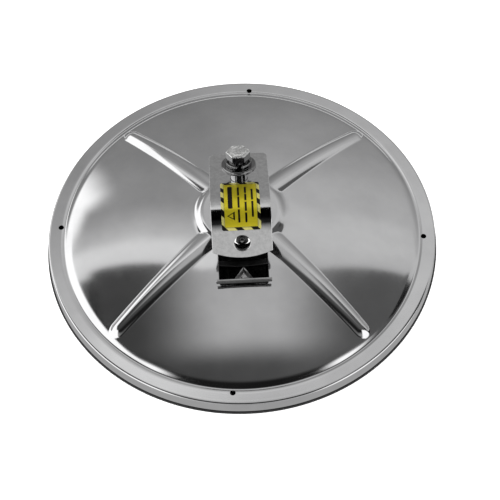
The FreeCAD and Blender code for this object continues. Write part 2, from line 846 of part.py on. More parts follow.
def make_tension_springs(document):
    """One close compression spring per screw, under the pressure plate."""
    gap = DIMENSIONS["spring_gap"]
    top = -DIMENSIONS["clamp_flange"] - DIMENSIONS["cup_sheet"] - gap
    wire = DIMENSIONS["spring_wire"]
    height = DIMENSIONS["spring_length"] - 2 * wire - 2 * gap
    coil_radius = DIMENSIONS["spring_radius"] - wire
    turns = DIMENSIONS["spring_turns"]
    helix = Part.makeHelix(height / turns, height, coil_radius)
    circle = Part.Circle(FreeCAD.Vector(coil_radius, 0, 0), FreeCAD.Vector(0, 1, 0), wire)
    section = Part.Wire(circle.toShape())
    coil = Part.Wire(helix).makePipeShell([section], True, True)
    coils = []
    for x, y in screw_spots():
        spring = coil.copy()
        spring.translate(FreeCAD.Vector(x, y, top - wire - height))
        coils.append(spring)
    return new_feature(document, "tension_springs", Part.makeCompound(coils), head_place())


def make_lock_nuts(document):
    top = -DIMENSIONS["clamp_flange"] - DIMENSIONS["cup_sheet"] - DIMENSIONS["spring_length"]
    reach = DIMENSIONS["nut_flats"] / math.sqrt(3)
    corners = [FreeCAD.Vector(reach * math.cos(math.radians(60 * step)),
                              reach * math.sin(math.radians(60 * step)), 0) for step in range(7)]
    prism = Part.Face(Part.makePolygon(corners)).extrude(FreeCAD.Vector(0, 0, -DIMENSIONS["nut_height"]))
    bore = Part.makeCylinder(DIMENSIONS["screw_radius"] + DIMENSIONS["nut_clearance"],
                             DIMENSIONS["nut_height"] + OVERCUT,
                             FreeCAD.Vector(0, 0, -DIMENSIONS["nut_height"] - OVERCUT / 2))
    nut = prism.cut(bore)
    nuts = []
    for x, y in screw_spots():
        placed = nut.copy()
        placed.translate(FreeCAD.Vector(x, y, top))
        nuts.append(placed)
    return new_feature(document, "lock_nuts", Part.makeCompound(nuts), head_place())


# ---------------------------------------------------------------- stop plate

def make_stop_plate(document):
    """Folded steel strip on the boss, with a turned-up lip that stops the bracket's leg."""
    body = new_body(document, "stop_plate", head_place())
    sheet = dim("stop_sheet")
    base = dim("boss_top")
    top = base + sheet
    lip = dim("stop_lip_face")
    section = new_sketch(body, "StopSection", "YZ_Plane")
    draw_profile(section, [
        (-dim("stop_inner"), base),
        (-dim("stop_inner"), top),
        (-dim("stop_fold"), top),
        (-lip, dim("stop_end_level")),
        (-lip, dim("stop_end_level") - sheet),
        (-dim("stop_fold"), base),
    ])
    pad(body, section, dim("stop_width"), "StopStrip", midplane=True)
    lip_section = new_sketch(body, "LipSection", "YZ_Plane")
    outside = -lip - dim("stop_lip_sheet")
    crown, root = dim("stop_lip_crown"), dim("stop_lip_root")
    draw_profile(lip_section, [
        (-lip, dim("stop_lip_bottom")),
        (-lip, dim("stop_lip_top")),
        (outside + crown, dim("stop_lip_top"), crown, RIGHT),
        (outside, dim("stop_lip_top") - crown),
        (outside, dim("stop_lip_bottom") + root, root, RIGHT),
        (outside + root, dim("stop_lip_bottom")),
    ])
    pad(body, lip_section, dim("stop_lip_width"), "Lip", midplane=True)
    add_dart(body)
    hole = new_sketch(body, "StopScrewHole", "XY_Plane", number(top) + OVERCUT / 2)
    draw_circle(hole, fixed(0), -dim("screw_circle"), dim("screw_hole_radius"))
    cut = body.newObject("PartDesign::Pocket", "StopScrewHoleCut")
    cut.Profile = hole
    cut.Length = DIMENSIONS["stop_sheet"] + OVERCUT
    return body


DART_TIP = 0.03  # size of the dart's point against its wide end
DART_ROOT = 0.3  # how far the dart's foot sinks into the strip


def add_dart(body):
    """Pressed triangular dart that stiffens the fold at the lip."""
    lip = DIMENSIONS["stop_lip_face"]
    reach = DIMENSIONS["dart_reach"]
    slope = (DIMENSIONS["boss_top"] + DIMENSIONS["stop_sheet"] - DIMENSIONS["stop_end_level"]) / (
        lip - DIMENSIONS["stop_fold"])
    sketches = []
    for step, share in enumerate((1.0, DART_TIP)):
        forward = lip - reach * (1.0 - share)
        floor = DIMENSIONS["stop_end_level"] + slope * (lip - forward) - DART_ROOT
        half, rise = DIMENSIONS["dart_half_width"] * share, DIMENSIONS["dart_height"] * share
        sketch = new_sketch(body, f"Dart{step}", "XZ_Plane", forward)
        corners = [FreeCAD.Vector(-half, floor, 0), FreeCAD.Vector(0, floor + rise, 0),
                   FreeCAD.Vector(half, floor, 0)]
        sketch.addGeometry([Part.LineSegment(corners[spot], corners[(spot + 1) % 3]) for spot in range(3)])
        sketches.append(sketch)
    loft = body.newObject("PartDesign::AdditiveLoft", "Dart")
    loft.Profile = sketches[0]
    loft.Sections = sketches[1:]
    loft.Ruled = True


# ---------------------------------------------------------------- document

def check_document(document, parts):
    broken = [item.Name for item in document.Objects
              if "Invalid" in item.State or "Error" in item.State]
    if broken:
        raise RuntimeError(f"objects in error: {broken}")
    for item in parts:
        if item.Shape.isNull() or not item.Shape.isValid():
            raise RuntimeError(f"bad shape: {item.Label}")


def main():
    document = FreeCAD.newDocument("MirrorHead")
    make_sheet(document)
    parts = [
        make_mount_bracket(document),
        make_ball_stud(document),
        make_safety_label(document),
        make_flat_washer(document),
        make_lock_washer(document),
        make_hex_bolt(document),
        make_back_bowl(document),
        make_edge_gasket(document),
        make_mirror_glass(document),
        make_seat(document, "upper_seat", *UPPER_SEAT),
        make_seat(document, "lower_seat", *LOWER_SEAT),
        make_socket_plate(document),
        make_pressure_plate(document),
        make_stop_plate(document),
        *make_screws(document),
        make_tension_springs(document),
        make_lock_nuts(document),
    ]
    document.recompute()
    check_document(document, parts)
    os.makedirs("parts", exist_ok=True)
    for item in parts:
        item.Shape.exportStep(f"parts/{item.Label}.step")
        print(item.Label, len(item.Shape.Solids), round(item.Shape.Volume, 1))


main()
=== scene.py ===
import json
import math
import bmesh
import bpy
from mathutils import Matrix, Vector


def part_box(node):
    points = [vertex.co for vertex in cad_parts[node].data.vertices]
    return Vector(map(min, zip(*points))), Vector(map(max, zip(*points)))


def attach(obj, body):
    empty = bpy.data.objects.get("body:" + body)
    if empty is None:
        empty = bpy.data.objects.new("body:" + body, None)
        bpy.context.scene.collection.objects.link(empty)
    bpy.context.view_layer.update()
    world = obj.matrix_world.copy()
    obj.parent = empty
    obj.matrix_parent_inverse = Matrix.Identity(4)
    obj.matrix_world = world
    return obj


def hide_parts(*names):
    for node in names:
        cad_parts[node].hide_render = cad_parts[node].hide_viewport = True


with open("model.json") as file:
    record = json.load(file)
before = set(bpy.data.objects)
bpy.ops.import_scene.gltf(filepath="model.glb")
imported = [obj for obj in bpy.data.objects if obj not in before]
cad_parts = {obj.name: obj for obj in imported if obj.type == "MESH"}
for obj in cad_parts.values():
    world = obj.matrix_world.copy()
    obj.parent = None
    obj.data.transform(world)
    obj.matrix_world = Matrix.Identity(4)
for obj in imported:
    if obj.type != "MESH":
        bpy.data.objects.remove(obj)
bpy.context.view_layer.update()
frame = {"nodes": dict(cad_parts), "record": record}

# Back of a round convex mirror head: polished pressed bowl lying on its glass, with a ball joint,
# an angled clamp bracket, its bolt and washers, a striped label and a folded stop plate.
# Lengths below are millimetres; make_object turns them into the frame's metres.

MM = 0.001
RECORD = frame["record"]
JOINTS = {joint["name"]: joint for joint in RECORD["behaviour"]["joints"]}
BALL = Vector(JOINTS["head_spin"]["pos_m"]) / MM
POST_AXIS = Vector(JOINTS["bolt_turn"]["axis"])
LEAN = math.atan2(POST_AXIS.y, POST_AXIS.z)

BRACKET_FRAME = Matrix.Rotation(-LEAN, 4, "X")
HEAD_FRAME = Matrix.Translation(BALL)

# bracket strip: s runs from the post axis towards the leg, along the strip's outer face
SHEET = 3.2
HALF_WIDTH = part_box("mount_bracket")[1].x / MM
PLATE_BACK = 23.8
PLATE_FRONT = 17.9
BEND_RADIUS = 15.9
BEND_ANGLE = math.radians(74.0)
LEG_LENGTH = 14.6
LEG_END_RADIUS = 38.0
LEG_HOLE_RADIUS = 4.25
LEG_HOLE_DROP = 6.4
POST_HOLE_RADIUS = 4.55
LEG_START = PLATE_FRONT + BEND_RADIUS * BEND_ANGLE

# bowl, in the head's frame
DOME_RADIUS = 254.0
DOME_TOP = 6.0
BOSS_TOP = 7.4
BOSS_OPENING = 12.8
GROOVE_RADIUS = 97.4
FLANGE_LEVEL = -14.0
FLANGE_END = 105.4
BAND_TOP = 106.8
BAND_BOTTOM = 107.3
BAND_LEVEL = -21.2
BOWL_SHEET = 0.8
RIB_TURN = 41.7
DRAIN_TURN = -5.0
DRAIN_CIRCLE = 100.2
DRAIN_RADIUS = 1.5
RIB_ANGLES = [math.radians(RIB_TURN + 90.0 * step) for step in range(4)]


# ---------------------------------------------------------------- meshes

def make_object(name, bm, place, material, body, replaced=(), sharp=35.0):
    """Finishes a mesh drawn in millimetres in a local frame, as one piece on a body."""
    bmesh.ops.transform(bm, matrix=Matrix.Scale(MM, 4) @ place, verts=bm.verts)
    bmesh.ops.recalc_face_normals(bm, faces=bm.faces)
    mesh = bpy.data.meshes.new(name)
    bm.to_mesh(mesh)
    bm.free()
    mesh.materials.append(material)
    mesh.shade_smooth()
    mesh.set_sharp_from_angle(angle=math.radians(sharp))
    piece = bpy.data.objects.new(name, mesh)
    bpy.context.collection.objects.link(piece)
    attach(piece, body)
    if replaced:
        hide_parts(*replaced)
    return piece


def weighted(piece):
    """Keeps flat faces flat next to their rounded edges."""
    modifier = piece.modifiers.new("FlatFaces", "WEIGHTED_NORMAL")
    modifier.keep_sharp = True
    return piece


def circle(x, y, radius, count=64):
    return [(x + radius * math.cos(math.tau * step / count), y + radius * math.sin(math.tau * step / count))
            for step in range(count)]


def arc_points(x, y, radius, first, last, count):
    return [(x + radius * math.cos(first + (last - first) * step / count),
             y + radius * math.sin(first + (last - first) * step / count)) for step in range(count + 1)]


def rounded_rectangle(left, right, low, high, radius, inset=0.0):
    corner = max(radius - inset, 0.02)
    left, right, low, high = left + inset, right - inset, low + inset, high - inset
    quarter = math.pi / 2
    points = []
    for x, y, turn in ((right - corner, high - corner, 0), (left + corner, high - corner, 1),
                       (left + corner, low + corner, 2), (right - corner, low + corner, 3)):
        points += arc_points(x, y, corner, turn * quarter, (turn + 1) * quarter, 8)
    return points


def edge_levels(low, high, edge, steps=3):
    """(inset, level) pairs that round both edges of a plate."""
    turns = [math.pi / 2 * step / steps for step in range(steps + 1)]
    foot = [(edge * (1 - math.sin(turn)), low + edge * (1 - math.cos(turn))) for turn in turns]
    crown = [(edge * (1 - math.cos(turn)), high - edge * (1 - math.sin(turn))) for turn in turns]
    return foot + crown


def plate(outline, holes, low, high, edge, rows=()):
    """Flat plate with rounded edges: outline(inset) gives its points, holes are (x, y, radius)."""
    bm = bmesh.new()
    levels = edge_levels(low, high, edge)
    loops = [lambda inset: outline(inset)]
    loops += [lambda inset, hole=hole: circle(hole[0], hole[1], hole[2] + inset) for hole in holes]
    caps = ([], [])
    for loop in loops:
        rings = [[bm.verts.new((x, y, level)) for x, y in loop(inset)] for inset, level in levels]
        for lower, upper in zip(rings, rings[1:]):
            for index in range(len(lower)):
                following = (index + 1) % len(lower)
                bm.faces.new((lower[index], lower[following], upper[following], upper[index]))
        for cap, ring in zip(caps, (rings[0], rings[-1])):
            cap += [bm.edges.get((ring[index], ring[(index + 1) % len(ring)])) for index in range(len(ring))]
    for cap in caps:
        bmesh.ops.triangle_fill(bm, use_beauty=True, use_dissolve=False, edges=cap)
    for row in rows:
        geometry = bm.verts[:] + bm.edges[:] + bm.faces[:]
        bmesh.ops.bisect_plane(bm, geom=geometry, plane_co=(0, row, 0), plane_no=(0, 1, 0))
    return bm


def bend(bm, start, radius, angle):
    """Bends a flat plate drawn as (x, s, t): straight to start, an arc, then straight again."""
    for vert in bm.verts:
        x, s, t = vert.co
        reach = radius + t
        past = min(max((s - start) / radius, 0.0), angle)
        along = max(s - start - radius * angle, 0.0)
        straight = min(s, start)
        y = -straight - math.sin(past) * reach - math.cos(past) * along
        drop = radius - math.cos(past) * reach + math.sin(past) * along
        vert.co = (x, y, -drop)
    return bm


def revolve(profile, count, closed=True):
    """Turns (radius, height) points about z."""
    bm = bmesh.new()
    rings = []
    for radius, height in profile:
        if radius < 1e-6:
            rings.append([bm.verts.new((0, 0, height))] * count)
        else:
            rings.append([bm.verts.new((x, y, height)) for x, y in circle(0, 0, radius, count)])
    pairs = list(zip(rings, rings[1:])) + ([(rings[-1], rings[0])] if closed else [])
    for lower, upper in pairs:
        for index in range(count):
            following = (index + 1) % count
            corners = [lower[index], lower[following], upper[following], upper[index]]
            unique = list(dict.fromkeys(corners))
            if len(unique) > 2:
                bm.faces.new(unique)
    return bm


def rounded_profile(points, count=4):
    """Replaces each (radius, height, fillet) corner by an arc."""
    result = []
    total = len(points)
    for index, (radius, height, fillet) in enumerate(points):
        here = Vector((radius, height))
        if fillet <= 0:
            result.append((radius, height))
            continue
        before = Vector(points[index - 1][:2]) - here
        after = Vector(points[(index + 1) % total][:2]) - here
        half = before.angle(after) / 2
        reach = fillet / math.tan(half)
        centre = here + (before.normalized() + after.normalized()).normalized() * fillet / math.sin(half)
        first = here + before.normalized() * reach - centre
        last = here + after.normalized() * reach - centre
        turn = first.angle_signed(last)
        for step in range(count + 1):
            angle = -turn * step / count
            spot = Matrix.Rotation(angle, 2) @ first + centre
            result.append((spot.x, spot.y))
    return result


# ---------------------------------------------------------------- materials

class Tree:
    """Short ways to add to a node tree."""

    def __init__(self, tree):
        self.tree = tree

    def add(self, kind, **settings):
        node = self.tree.nodes.new(kind)
        for key, value in settings.items():
            setattr(node, key, value)
        return node

    def link(self, source, target):
        self.tree.links.new(source, target)

    def math(self, operation, first, second=None, third=None):
        node = self.add("ShaderNodeMath", operation=operation)
        for socket, value in zip(node.inputs, (first, second, third)):
            if value is None:
                continue
            if isinstance(value, (int, float)):
                socket.default_value = value
            else:
                self.link(value, socket)
        return node.outputs[0]

    def spread(self, value, low, high, start=0.0, end=1.0):
        node = self.add("ShaderNodeMapRange")
        self.link(value, node.inputs["Value"])
        node.inputs["From Min"].default_value = start
        node.inputs["From Max"].default_value = end
        node.inputs["To Min"].default_value = low
        node.inputs["To Max"].default_value = high
        return node.outputs["Result"]

    def blend_colors(self, share, first, second):
        mix = self.add("ShaderNodeMix", data_type="RGBA")
        self.link(share, mix.inputs["Factor"])
        for socket, value in ((mix.inputs[6], first), (mix.inputs[7], second)):
            if isinstance(value, bpy.types.NodeSocket):
                self.link(value, socket)
            else:
                socket.default_value = (*value, 1.0)
        return mix.outputs[2]


class Nodes(Tree):
    """A principled material."""

    def __init__(self, name, color, metallic, roughness):
        self.material = bpy.data.materials.new(name)
        self.material.use_nodes = True
        super().__init__(self.material.node_tree)
        self.shader = self.tree.nodes["Principled BSDF"]
        self.shader.inputs["Base Color"].default_value = (*color, 1.0)
        self.shader.inputs["Metallic"].default_value = metallic
        self.shader.inputs["Roughness"].default_value = roughness
        self.place = self.add("ShaderNodeTexCoord").outputs["Object"]

    def noise(self, scale, detail=3.0, roughness=0.5, vector=None):
        node = self.add("ShaderNodeTexNoise")
        node.inputs["Scale"].default_value = scale
        node.inputs["Detail"].default_value = detail
        node.inputs["Roughness"].default_value = roughness
        self.link(vector or self.place, node.inputs["Vector"])
        return node.outputs["Fac"]

    def stretched(self, scale):
        node = self.add("ShaderNodeMapping")
        node.inputs["Scale"].default_value = scale
        self.link(self.place, node.inputs["Vector"])
        return node.outputs["Vector"]

    def spun(self, centre, around, across):
        """A place that changes slowly round the z axis and fast across it."""
        moved = self.add("ShaderNodeVectorMath", operation="SUBTRACT")
        self.link(self.place, moved.inputs[0])
        moved.inputs[1].default_value = [value * MM for value in centre]
        flat = self.add("ShaderNodeVectorMath", operation="MULTIPLY")
        self.link(moved.outputs[0], flat.inputs[0])
        flat.inputs[1].default_value = (1, 1, 0)
        length = self.add("ShaderNodeVectorMath", operation="LENGTH")
        self.link(flat.outputs[0], length.inputs[0])
        unit = self.add("ShaderNodeVectorMath", operation="NORMALIZE")
        self.link(flat.outputs[0], unit.inputs[0])
        parts = self.add("ShaderNodeSeparateXYZ")
        self.link(unit.outputs[0], parts.inputs[0])
        joined = self.add("ShaderNodeCombineXYZ")
        self.link(self.math("MULTIPLY", parts.outputs[0], around), joined.inputs[0])
        self.link(self.math("MULTIPLY", parts.outputs[1], around), joined.inputs[1])
        self.link(self.math("MULTIPLY", length.outputs["Value"], across), joined.inputs[2])
        return joined.outputs[0]

    def tint(self, value, low, high, start=0.35, end=0.65):
        ramp = self.add("ShaderNodeValToRGB")
        ramp.color_ramp.elements[0].position = start
        ramp.color_ramp.elements[1].position = end
        ramp.color_ramp.elements[0].color = (*low, 1.0)
        ramp.color_ramp.elements[1].color = (*high, 1.0)
        self.link(value, ramp.inputs["Fac"])
        return ramp.outputs["Color"]

    def color(self, value):
        self.link(value, self.shader.inputs["Base Color"])

    def roughness(self, value, low, high, start=0.3, end=0.7):
        self.link(self.spread(value, low, high, start, end), self.shader.inputs["Roughness"])

    def bump(self, height, strength, distance):
        node = self.add("ShaderNodeBump")
        node.inputs["Strength"].default_value = strength
        node.inputs["Distance"].default_value = distance
        previous = self.shader.inputs["Normal"].links
        if previous:
            self.link(previous[0].from_socket, node.inputs["Normal"])
        self.link(height, node.inputs["Height"])
        self.link(node.outputs["Normal"], self.shader.inputs["Normal"])


def bowl_steel():
    """Polished stainless sheet: fine circular polishing lines and a slight press waviness."""
    nodes = Nodes("polished_stainless", (0.66, 0.66, 0.665), 1.0, 0.13)
    lines = nodes.noise(1.0, 4.0, 0.6, nodes.spun(BALL, 3.0, 5200.0))
    cloud = nodes.noise(38.0, 4.0, 0.55)
    nodes.roughness(nodes.math("MULTIPLY_ADD", lines, 0.35, nodes.math("MULTIPLY", cloud, 0.65)), 0.07, 0.13)
    nodes.color(nodes.tint(cloud, (0.63, 0.63, 0.635), (0.70, 0.70, 0.705)))
    nodes.bump(nodes.noise(16.0, 1.5, 0.4), 0.10, 0.0006)
    nodes.bump(lines, 0.05, 0.00004)
    return nodes.material


def bracket_steel():
    """Rolled stainless strip: bright skin with a faint mottle and fine lines along it."""
    nodes = Nodes("rolled_stainless", (0.66, 0.66, 0.66), 1.0, 0.1)
    lines = nodes.noise(1.0, 3.0, 0.6, nodes.stretched((2600.0, 160.0, 160.0)))
    mottle = nodes.noise(420.0, 4.0, 0.65)
    nodes.color(nodes.tint(mottle, (0.64, 0.64, 0.64), (0.76, 0.76, 0.76)))
    nodes.roughness(mottle, 0.07, 0.14)
    nodes.bump(mottle, 0.07, 0.00006)
    nodes.bump(lines, 0.04, 0.00003)
    return nodes.material


def shaded_inside_steel():
    """Dull, rough steel on the strip's inside, coloured near black as painted shade under the strip."""
    nodes = Nodes("shaded_inside_stainless", (0.13, 0.13, 0.13), 1.0, 0.4)
    scale = nodes.noise(500.0, 4.0, 0.6)
    # Near-black tint with random mottling: painted shade under the strip.
    nodes.color(nodes.tint(scale, (0.10, 0.10, 0.10), (0.16, 0.16, 0.16)))
    nodes.roughness(scale, 0.34, 0.48)
    nodes.bump(scale, 0.12, 0.00005)
    return nodes.material


def bright_zinc(name, base, low, high):
    """Bright plated steel with tumbling marks."""
    nodes = Nodes(name, base, 1.0, low)
    dents = nodes.noise(900.0, 3.0, 0.65)
    cloud = nodes.noise(240.0, 2.0, 0.5)
    nodes.color(nodes.tint(cloud, [value * 0.9 for value in base], base))
    nodes.roughness(dents, low, high)
    nodes.bump(dents, 0.06, 0.00003)
    return nodes.material


def bolt_steel():
    """Smooth sides coloured dark as painted shade, and a top face roughened by the forging die and coloured
    much lighter as a painted highlight.
    """
    nodes = Nodes("zinc_lit_top_shaded_sides", (0.5, 0.5, 0.5), 1.0, 0.12)
    grain = nodes.noise(1500.0, 4.0, 0.7)
    blotch = nodes.noise(650.0, 2.0, 0.5)
    along = nodes.add("ShaderNodeVectorMath", operation="DOT_PRODUCT")
    nodes.link(nodes.place, along.inputs[0])
    along.inputs[1].default_value = tuple(POST_AXIS)
    face = (LOCK_TOP + HEAD_HEIGHT) * MM
    top = nodes.spread(along.outputs["Value"], 0.0, 1.0, face - 1.05 * MM, face - 0.75 * MM)
    # Two tones of one plating: painted shade on the sides, painted highlight on the top face.
    side = nodes.tint(blotch, (0.20, 0.20, 0.20), (0.26, 0.26, 0.26))
    crown = nodes.tint(blotch, (0.80, 0.80, 0.79), (0.95, 0.95, 0.94))
    nodes.color(nodes.blend_colors(top, side, crown))
    nodes.roughness(grain, 0.06, 0.14)
    nodes.bump(nodes.math("MULTIPLY", blotch, top), 0.9, 0.0005)
    nodes.bump(grain, 0.12, 0.00004)
    return nodes.material


def dark_steel(name, base):
    """Polished, glossy stop plate steel in a given tone: a dark copy on the strip paints shade under the
    bracket's leg, a lighter copy on the lip and dart paints highlights.
    """
    nodes = Nodes(name, base, 1.0, 0.10)
    smear = nodes.noise(1.0, 3.0, 0.6, nodes.stretched((900.0, 160.0, 160.0)))
    cloud = nodes.noise(150.0, 3.0, 0.5)
    nodes.color(nodes.tint(cloud, [value * 0.85 for value in base], [value * 1.15 for value in base]))
    nodes.roughness(smear, 0.06, 0.15)
    nodes.bump(cloud, 0.10, 0.0002)
    nodes.bump(smear, 0.04, 0.00003)
    return nodes.material


def rubber():
    """Moulded black rubber with a dull bloom."""
    nodes = Nodes("moulded_rubber", (0.012, 0.012, 0.012), 0.0, 0.5)
    bloom = nodes.noise(60.0, 4.0, 0.6)
    pores = nodes.noise(2200.0, 2.0, 0.5)
    nodes.color(nodes.tint(bloom, (0.008, 0.008, 0.008), (0.02, 0.02, 0.021)))
    nodes.roughness(bloom, 0.42, 0.62)
    nodes.bump(pores, 0.2, 0.00005)
    return nodes.material


def mirror_glass():
    """Silvered glass with faint dust."""
    nodes = Nodes("silvered_glass", (0.86, 0.88, 0.88), 1.0, 0.02)
    dust = nodes.noise(180.0, 5.0, 0.7)
    nodes.color(nodes.tint(dust, (0.82, 0.84, 0.84), (0.88, 0.90, 0.90)))
    nodes.roughness(dust, 0.012, 0.05, 0.4, 0.8)
    nodes.bump(nodes.noise(9.0, 1.0, 0.4), 0.05, 0.0003)
    return nodes.material


def nylon():
    """Natural moulded nylon."""
    nodes = Nodes("natural_nylon", (0.80, 0.78, 0.70), 0.0, 0.4)
    nodes.shader.inputs["Subsurface Weight"].default_value = 0.15
    flow = nodes.noise(90.0, 3.0, 0.5)
    nodes.color(nodes.tint(flow, (0.74, 0.72, 0.63), (0.83, 0.81, 0.74)))
    nodes.roughness(flow, 0.32, 0.48)
    nodes.bump(nodes.noise(1600.0, 2.0, 0.5), 0.12, 0.00005)
    return nodes.material


def plated_steel():
    """Dull zinc-plated pressings inside the bowl."""
    nodes = Nodes("dull_zinc_plate", (0.60, 0.60, 0.58), 1.0, 0.35)
    spangle = nodes.noise(260.0, 4.0, 0.65)
    nodes.color(nodes.tint(spangle, (0.50, 0.50, 0.49), (0.66, 0.66, 0.64)))
    nodes.roughness(spangle, 0.26, 0.46)
    nodes.bump(spangle, 0.15, 0.00006)
    return nodes.material


def spring_steel():
    """Drawn wire with lengthwise die lines."""
    nodes = Nodes("drawn_wire", (0.42, 0.42, 0.43), 1.0, 0.3)
    lines = nodes.noise(1.0, 3.0, 0.6, nodes.stretched((400.0, 400.0, 6000.0)))
    nodes.color(nodes.tint(lines, (0.34, 0.34, 0.35), (0.48, 0.48, 0.49)))
    nodes.roughness(lines, 0.22, 0.4)
    nodes.bump(lines, 0.15, 0.00004)
    return nodes.material


LABEL_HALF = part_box("safety_label")[1].x / MM
LABEL_START = 4.85
LABEL_END = PLATE_FRONT + BEND_RADIUS * math.radians(71.0)
LABEL_YELLOW = (0.86, 0.73, 0.030)
LABEL_PALE = (0.90, 0.84, 0.28)
LABEL_INK = (0.010, 0.009, 0.008)
STRIPE_PITCH = 8.4
STRIPE_SHIFT = 4.2
BORDER = 1.75


def printed_label():
    """Yellow metallic vinyl with a striped edge and plain bars instead of lettering."""
    nodes = Nodes("printed_label", LABEL_YELLOW, 0.45, 0.22)
    nodes.shader.inputs["Specular IOR Level"].default_value = 0.3
    uv = nodes.add("ShaderNodeUVMap", uv_map="Flat")
    parts = nodes.add("ShaderNodeSeparateXYZ")
    nodes.link(uv.outputs[0], parts.inputs[0])
    across = nodes.math("MULTIPLY", parts.outputs[0], 100.0)
    down = nodes.math("MULTIPLY", parts.outputs[1], 100.0)
    length = LABEL_END - LABEL_START
    centre = (LABEL_START + LABEL_END) / 2

    def inside(middle_x, half_x, middle_s, half_s, soft=0.06):
        """1 inside a box on the label, 0 outside."""
        off_x = nodes.math("ABSOLUTE", nodes.math("SUBTRACT", across, middle_x))
        gap_x = nodes.math("SUBTRACT", off_x, half_x)
        off_s = nodes.math("ABSOLUTE", nodes.math("SUBTRACT", down, middle_s))
        gap_s = nodes.math("SUBTRACT", off_s, half_s)
        return nodes.spread(nodes.math("SMOOTH_MAX", gap_x, gap_s, 0.9), 1.0, 0.0, -soft, soft)

    panel = inside(0.0, LABEL_HALF - BORDER, centre, length / 2 - BORDER)
    outline = inside(0.0, LABEL_HALF - BORDER + 0.35, centre, length / 2 - BORDER + 0.35)
    slanted = nodes.math("ADD", nodes.math("SUBTRACT", across, down), STRIPE_SHIFT)
    slant = nodes.math("DIVIDE", slanted, STRIPE_PITCH)
    wave = nodes.math("PINGPONG", slant, 0.5)
    stripes = nodes.spread(wave, 1.0, 0.0, 0.215, 0.235)
    edge = nodes.math("MULTIPLY", stripes, nodes.math("SUBTRACT", 1.0, panel))
    keyline = nodes.math("MULTIPLY", nodes.math("SUBTRACT", outline, panel), 0.55)
    ink = nodes.math("MAXIMUM", edge, keyline)

    def dashes(column, half, first, last, pitch, gap):
        """A column of plain bars with small gaps."""
        box = inside(column, half, (first + last) / 2, (last - first) / 2)
        cell = nodes.math("FRACT", nodes.math("DIVIDE", nodes.math("SUBTRACT", down, first), pitch))
        return nodes.math("MULTIPLY", box, nodes.math("GREATER_THAN", cell, gap / pitch))

    rows = [
        dashes(-5.4, 1.2, 8.6, 26.0, 17.6, 0.0),
        dashes(-1.0, 0.55, 8.4, 33.6, 8.6, 0.9),
        dashes(2.7, 0.55, 8.4, 33.6, 6.4, 0.8),
        dashes(6.2, 0.55, 10.4, 31.0, 10.4, 0.9),
    ]
    for row in rows:
        ink = nodes.math("MAXIMUM", ink, row)
    ink = nodes.math("MAXIMUM", ink, triangle_mark(nodes, across, down, -5.2, 30.0))
    wear = nodes.noise(90.0, 3.0, 0.5)
    yellow = nodes.tint(wear, [value * 0.95 for value in LABEL_YELLOW], LABEL_YELLOW)
    base = nodes.blend_colors(panel, LABEL_PALE, yellow)
    nodes.color(nodes.blend_colors(ink, base, LABEL_INK))
    nodes.roughness(wear, 0.26, 0.34)
    nodes.bump(wear, 0.04, 0.00003)
    return nodes.material


def triangle_mark(nodes, across, down, x, s):
    """Plain triangle outline pointing back towards the post's left."""
    def size(half):
        reach = nodes.math("ADD", nodes.math("SUBTRACT", across, x), half)
        left = nodes.math("SUBTRACT", nodes.math("ABSOLUTE", nodes.math("SUBTRACT", down, s)),
                          nodes.math("MULTIPLY", reach, 0.58))
        right = nodes.math("SUBTRACT", nodes.math("SUBTRACT", across, x), half)
        return nodes.spread(nodes.math("MAXIMUM", left, right), 1.0, 0.0, -0.06, 0.06)
    return nodes.math("MULTIPLY", size(2.0), nodes.math("SUBTRACT", 1.0, size(1.15)))


# ---------------------------------------------------------------- bracket

def bracket_outline(inset):
    """Strip's flat outline: two rounded corners behind, a shallow round end on the leg."""
    half = HALF_WIDTH - inset
    corner = 3.0 - inset
    back = -PLATE_BACK + inset
    end_radius = LEG_END_RADIUS - inset
    end_centre = LEG_START + LEG_LENGTH - LEG_END_RADIUS
    swing = math.asin(half / end_radius)
    quarter = math.pi / 2
    points = arc_points(-half + corner, back + corner, corner, math.pi, math.pi + quarter, 8)
    points += arc_points(half - corner, back + corner, corner, -quarter, 0.0, 8)
    points += arc_points(0.0, end_centre, end_radius, quarter - swing, quarter + swing, 40)
    return points


def bend_rows(start, radius, angle, count):
    return [start + radius * angle * step / count for step in range(count + 1)]


def build_bracket(material, inside):
    holes = [(0.0, 0.0, POST_HOLE_RADIUS), (0.0, LEG_START + LEG_HOLE_DROP, LEG_HOLE_RADIUS)]
    rows = bend_rows(PLATE_FRONT, BEND_RADIUS, BEND_ANGLE, 36)
    bm = plate(bracket_outline, holes, -SHEET, 0.0, 0.35, rows)
    # Faces on the strip's underside take the second material, which paints shade there.
    for face in bm.faces:
        if max(vert.co.z for vert in face.verts) < -0.3:
            face.material_index = 1
    bend(bm, PLATE_FRONT, BEND_RADIUS, BEND_ANGLE)
    piece = make_object("bracket_strip", bm, BRACKET_FRAME, material, "bracket",
                        ["mount_bracket"])
    piece.data.materials.append(inside)
    return weighted(piece)


def build_label(material):
    rows = bend_rows(PLATE_FRONT, BEND_RADIUS, BEND_ANGLE, 36)[:-1]
    bm = plate(lambda inset: rounded_rectangle(-LABEL_HALF, LABEL_HALF, LABEL_START, LABEL_END, 1.1, inset),
               [], 0.01, 0.2, 0.06, rows)
    layer = bm.loops.layers.uv.new("Flat")
    for face in bm.faces:
        for loop in face.loops:
            loop[layer].uv = (loop.vert.co.x / 100.0, loop.vert.co.y / 100.0)
    bend(bm, PLATE_FRONT, BEND_RADIUS, BEND_ANGLE)
    piece = make_object("striped_label", bm, BRACKET_FRAME, material, "bracket", ["safety_label"])
    return weighted(piece)


# ---------------------------------------------------------------- bolt and washers

WASHER_FOOT = 7.15
WASHER_RADIUS = 9.4
WASHER_TOP = WASHER_FOOT + 2.2
LOCK_TOP = WASHER_TOP + 2.2
LOCK_RADIUS = 7.1
HEAD_HEIGHT = 5.4
HEAD_RELIEF = 1.1
HALF_FLATS = 5.55
THREAD_PITCH = 1.27
THREAD_RADIUS = 3.17
THREAD_DEPTH = 0.55
SHANK_LENGTH = 16.0


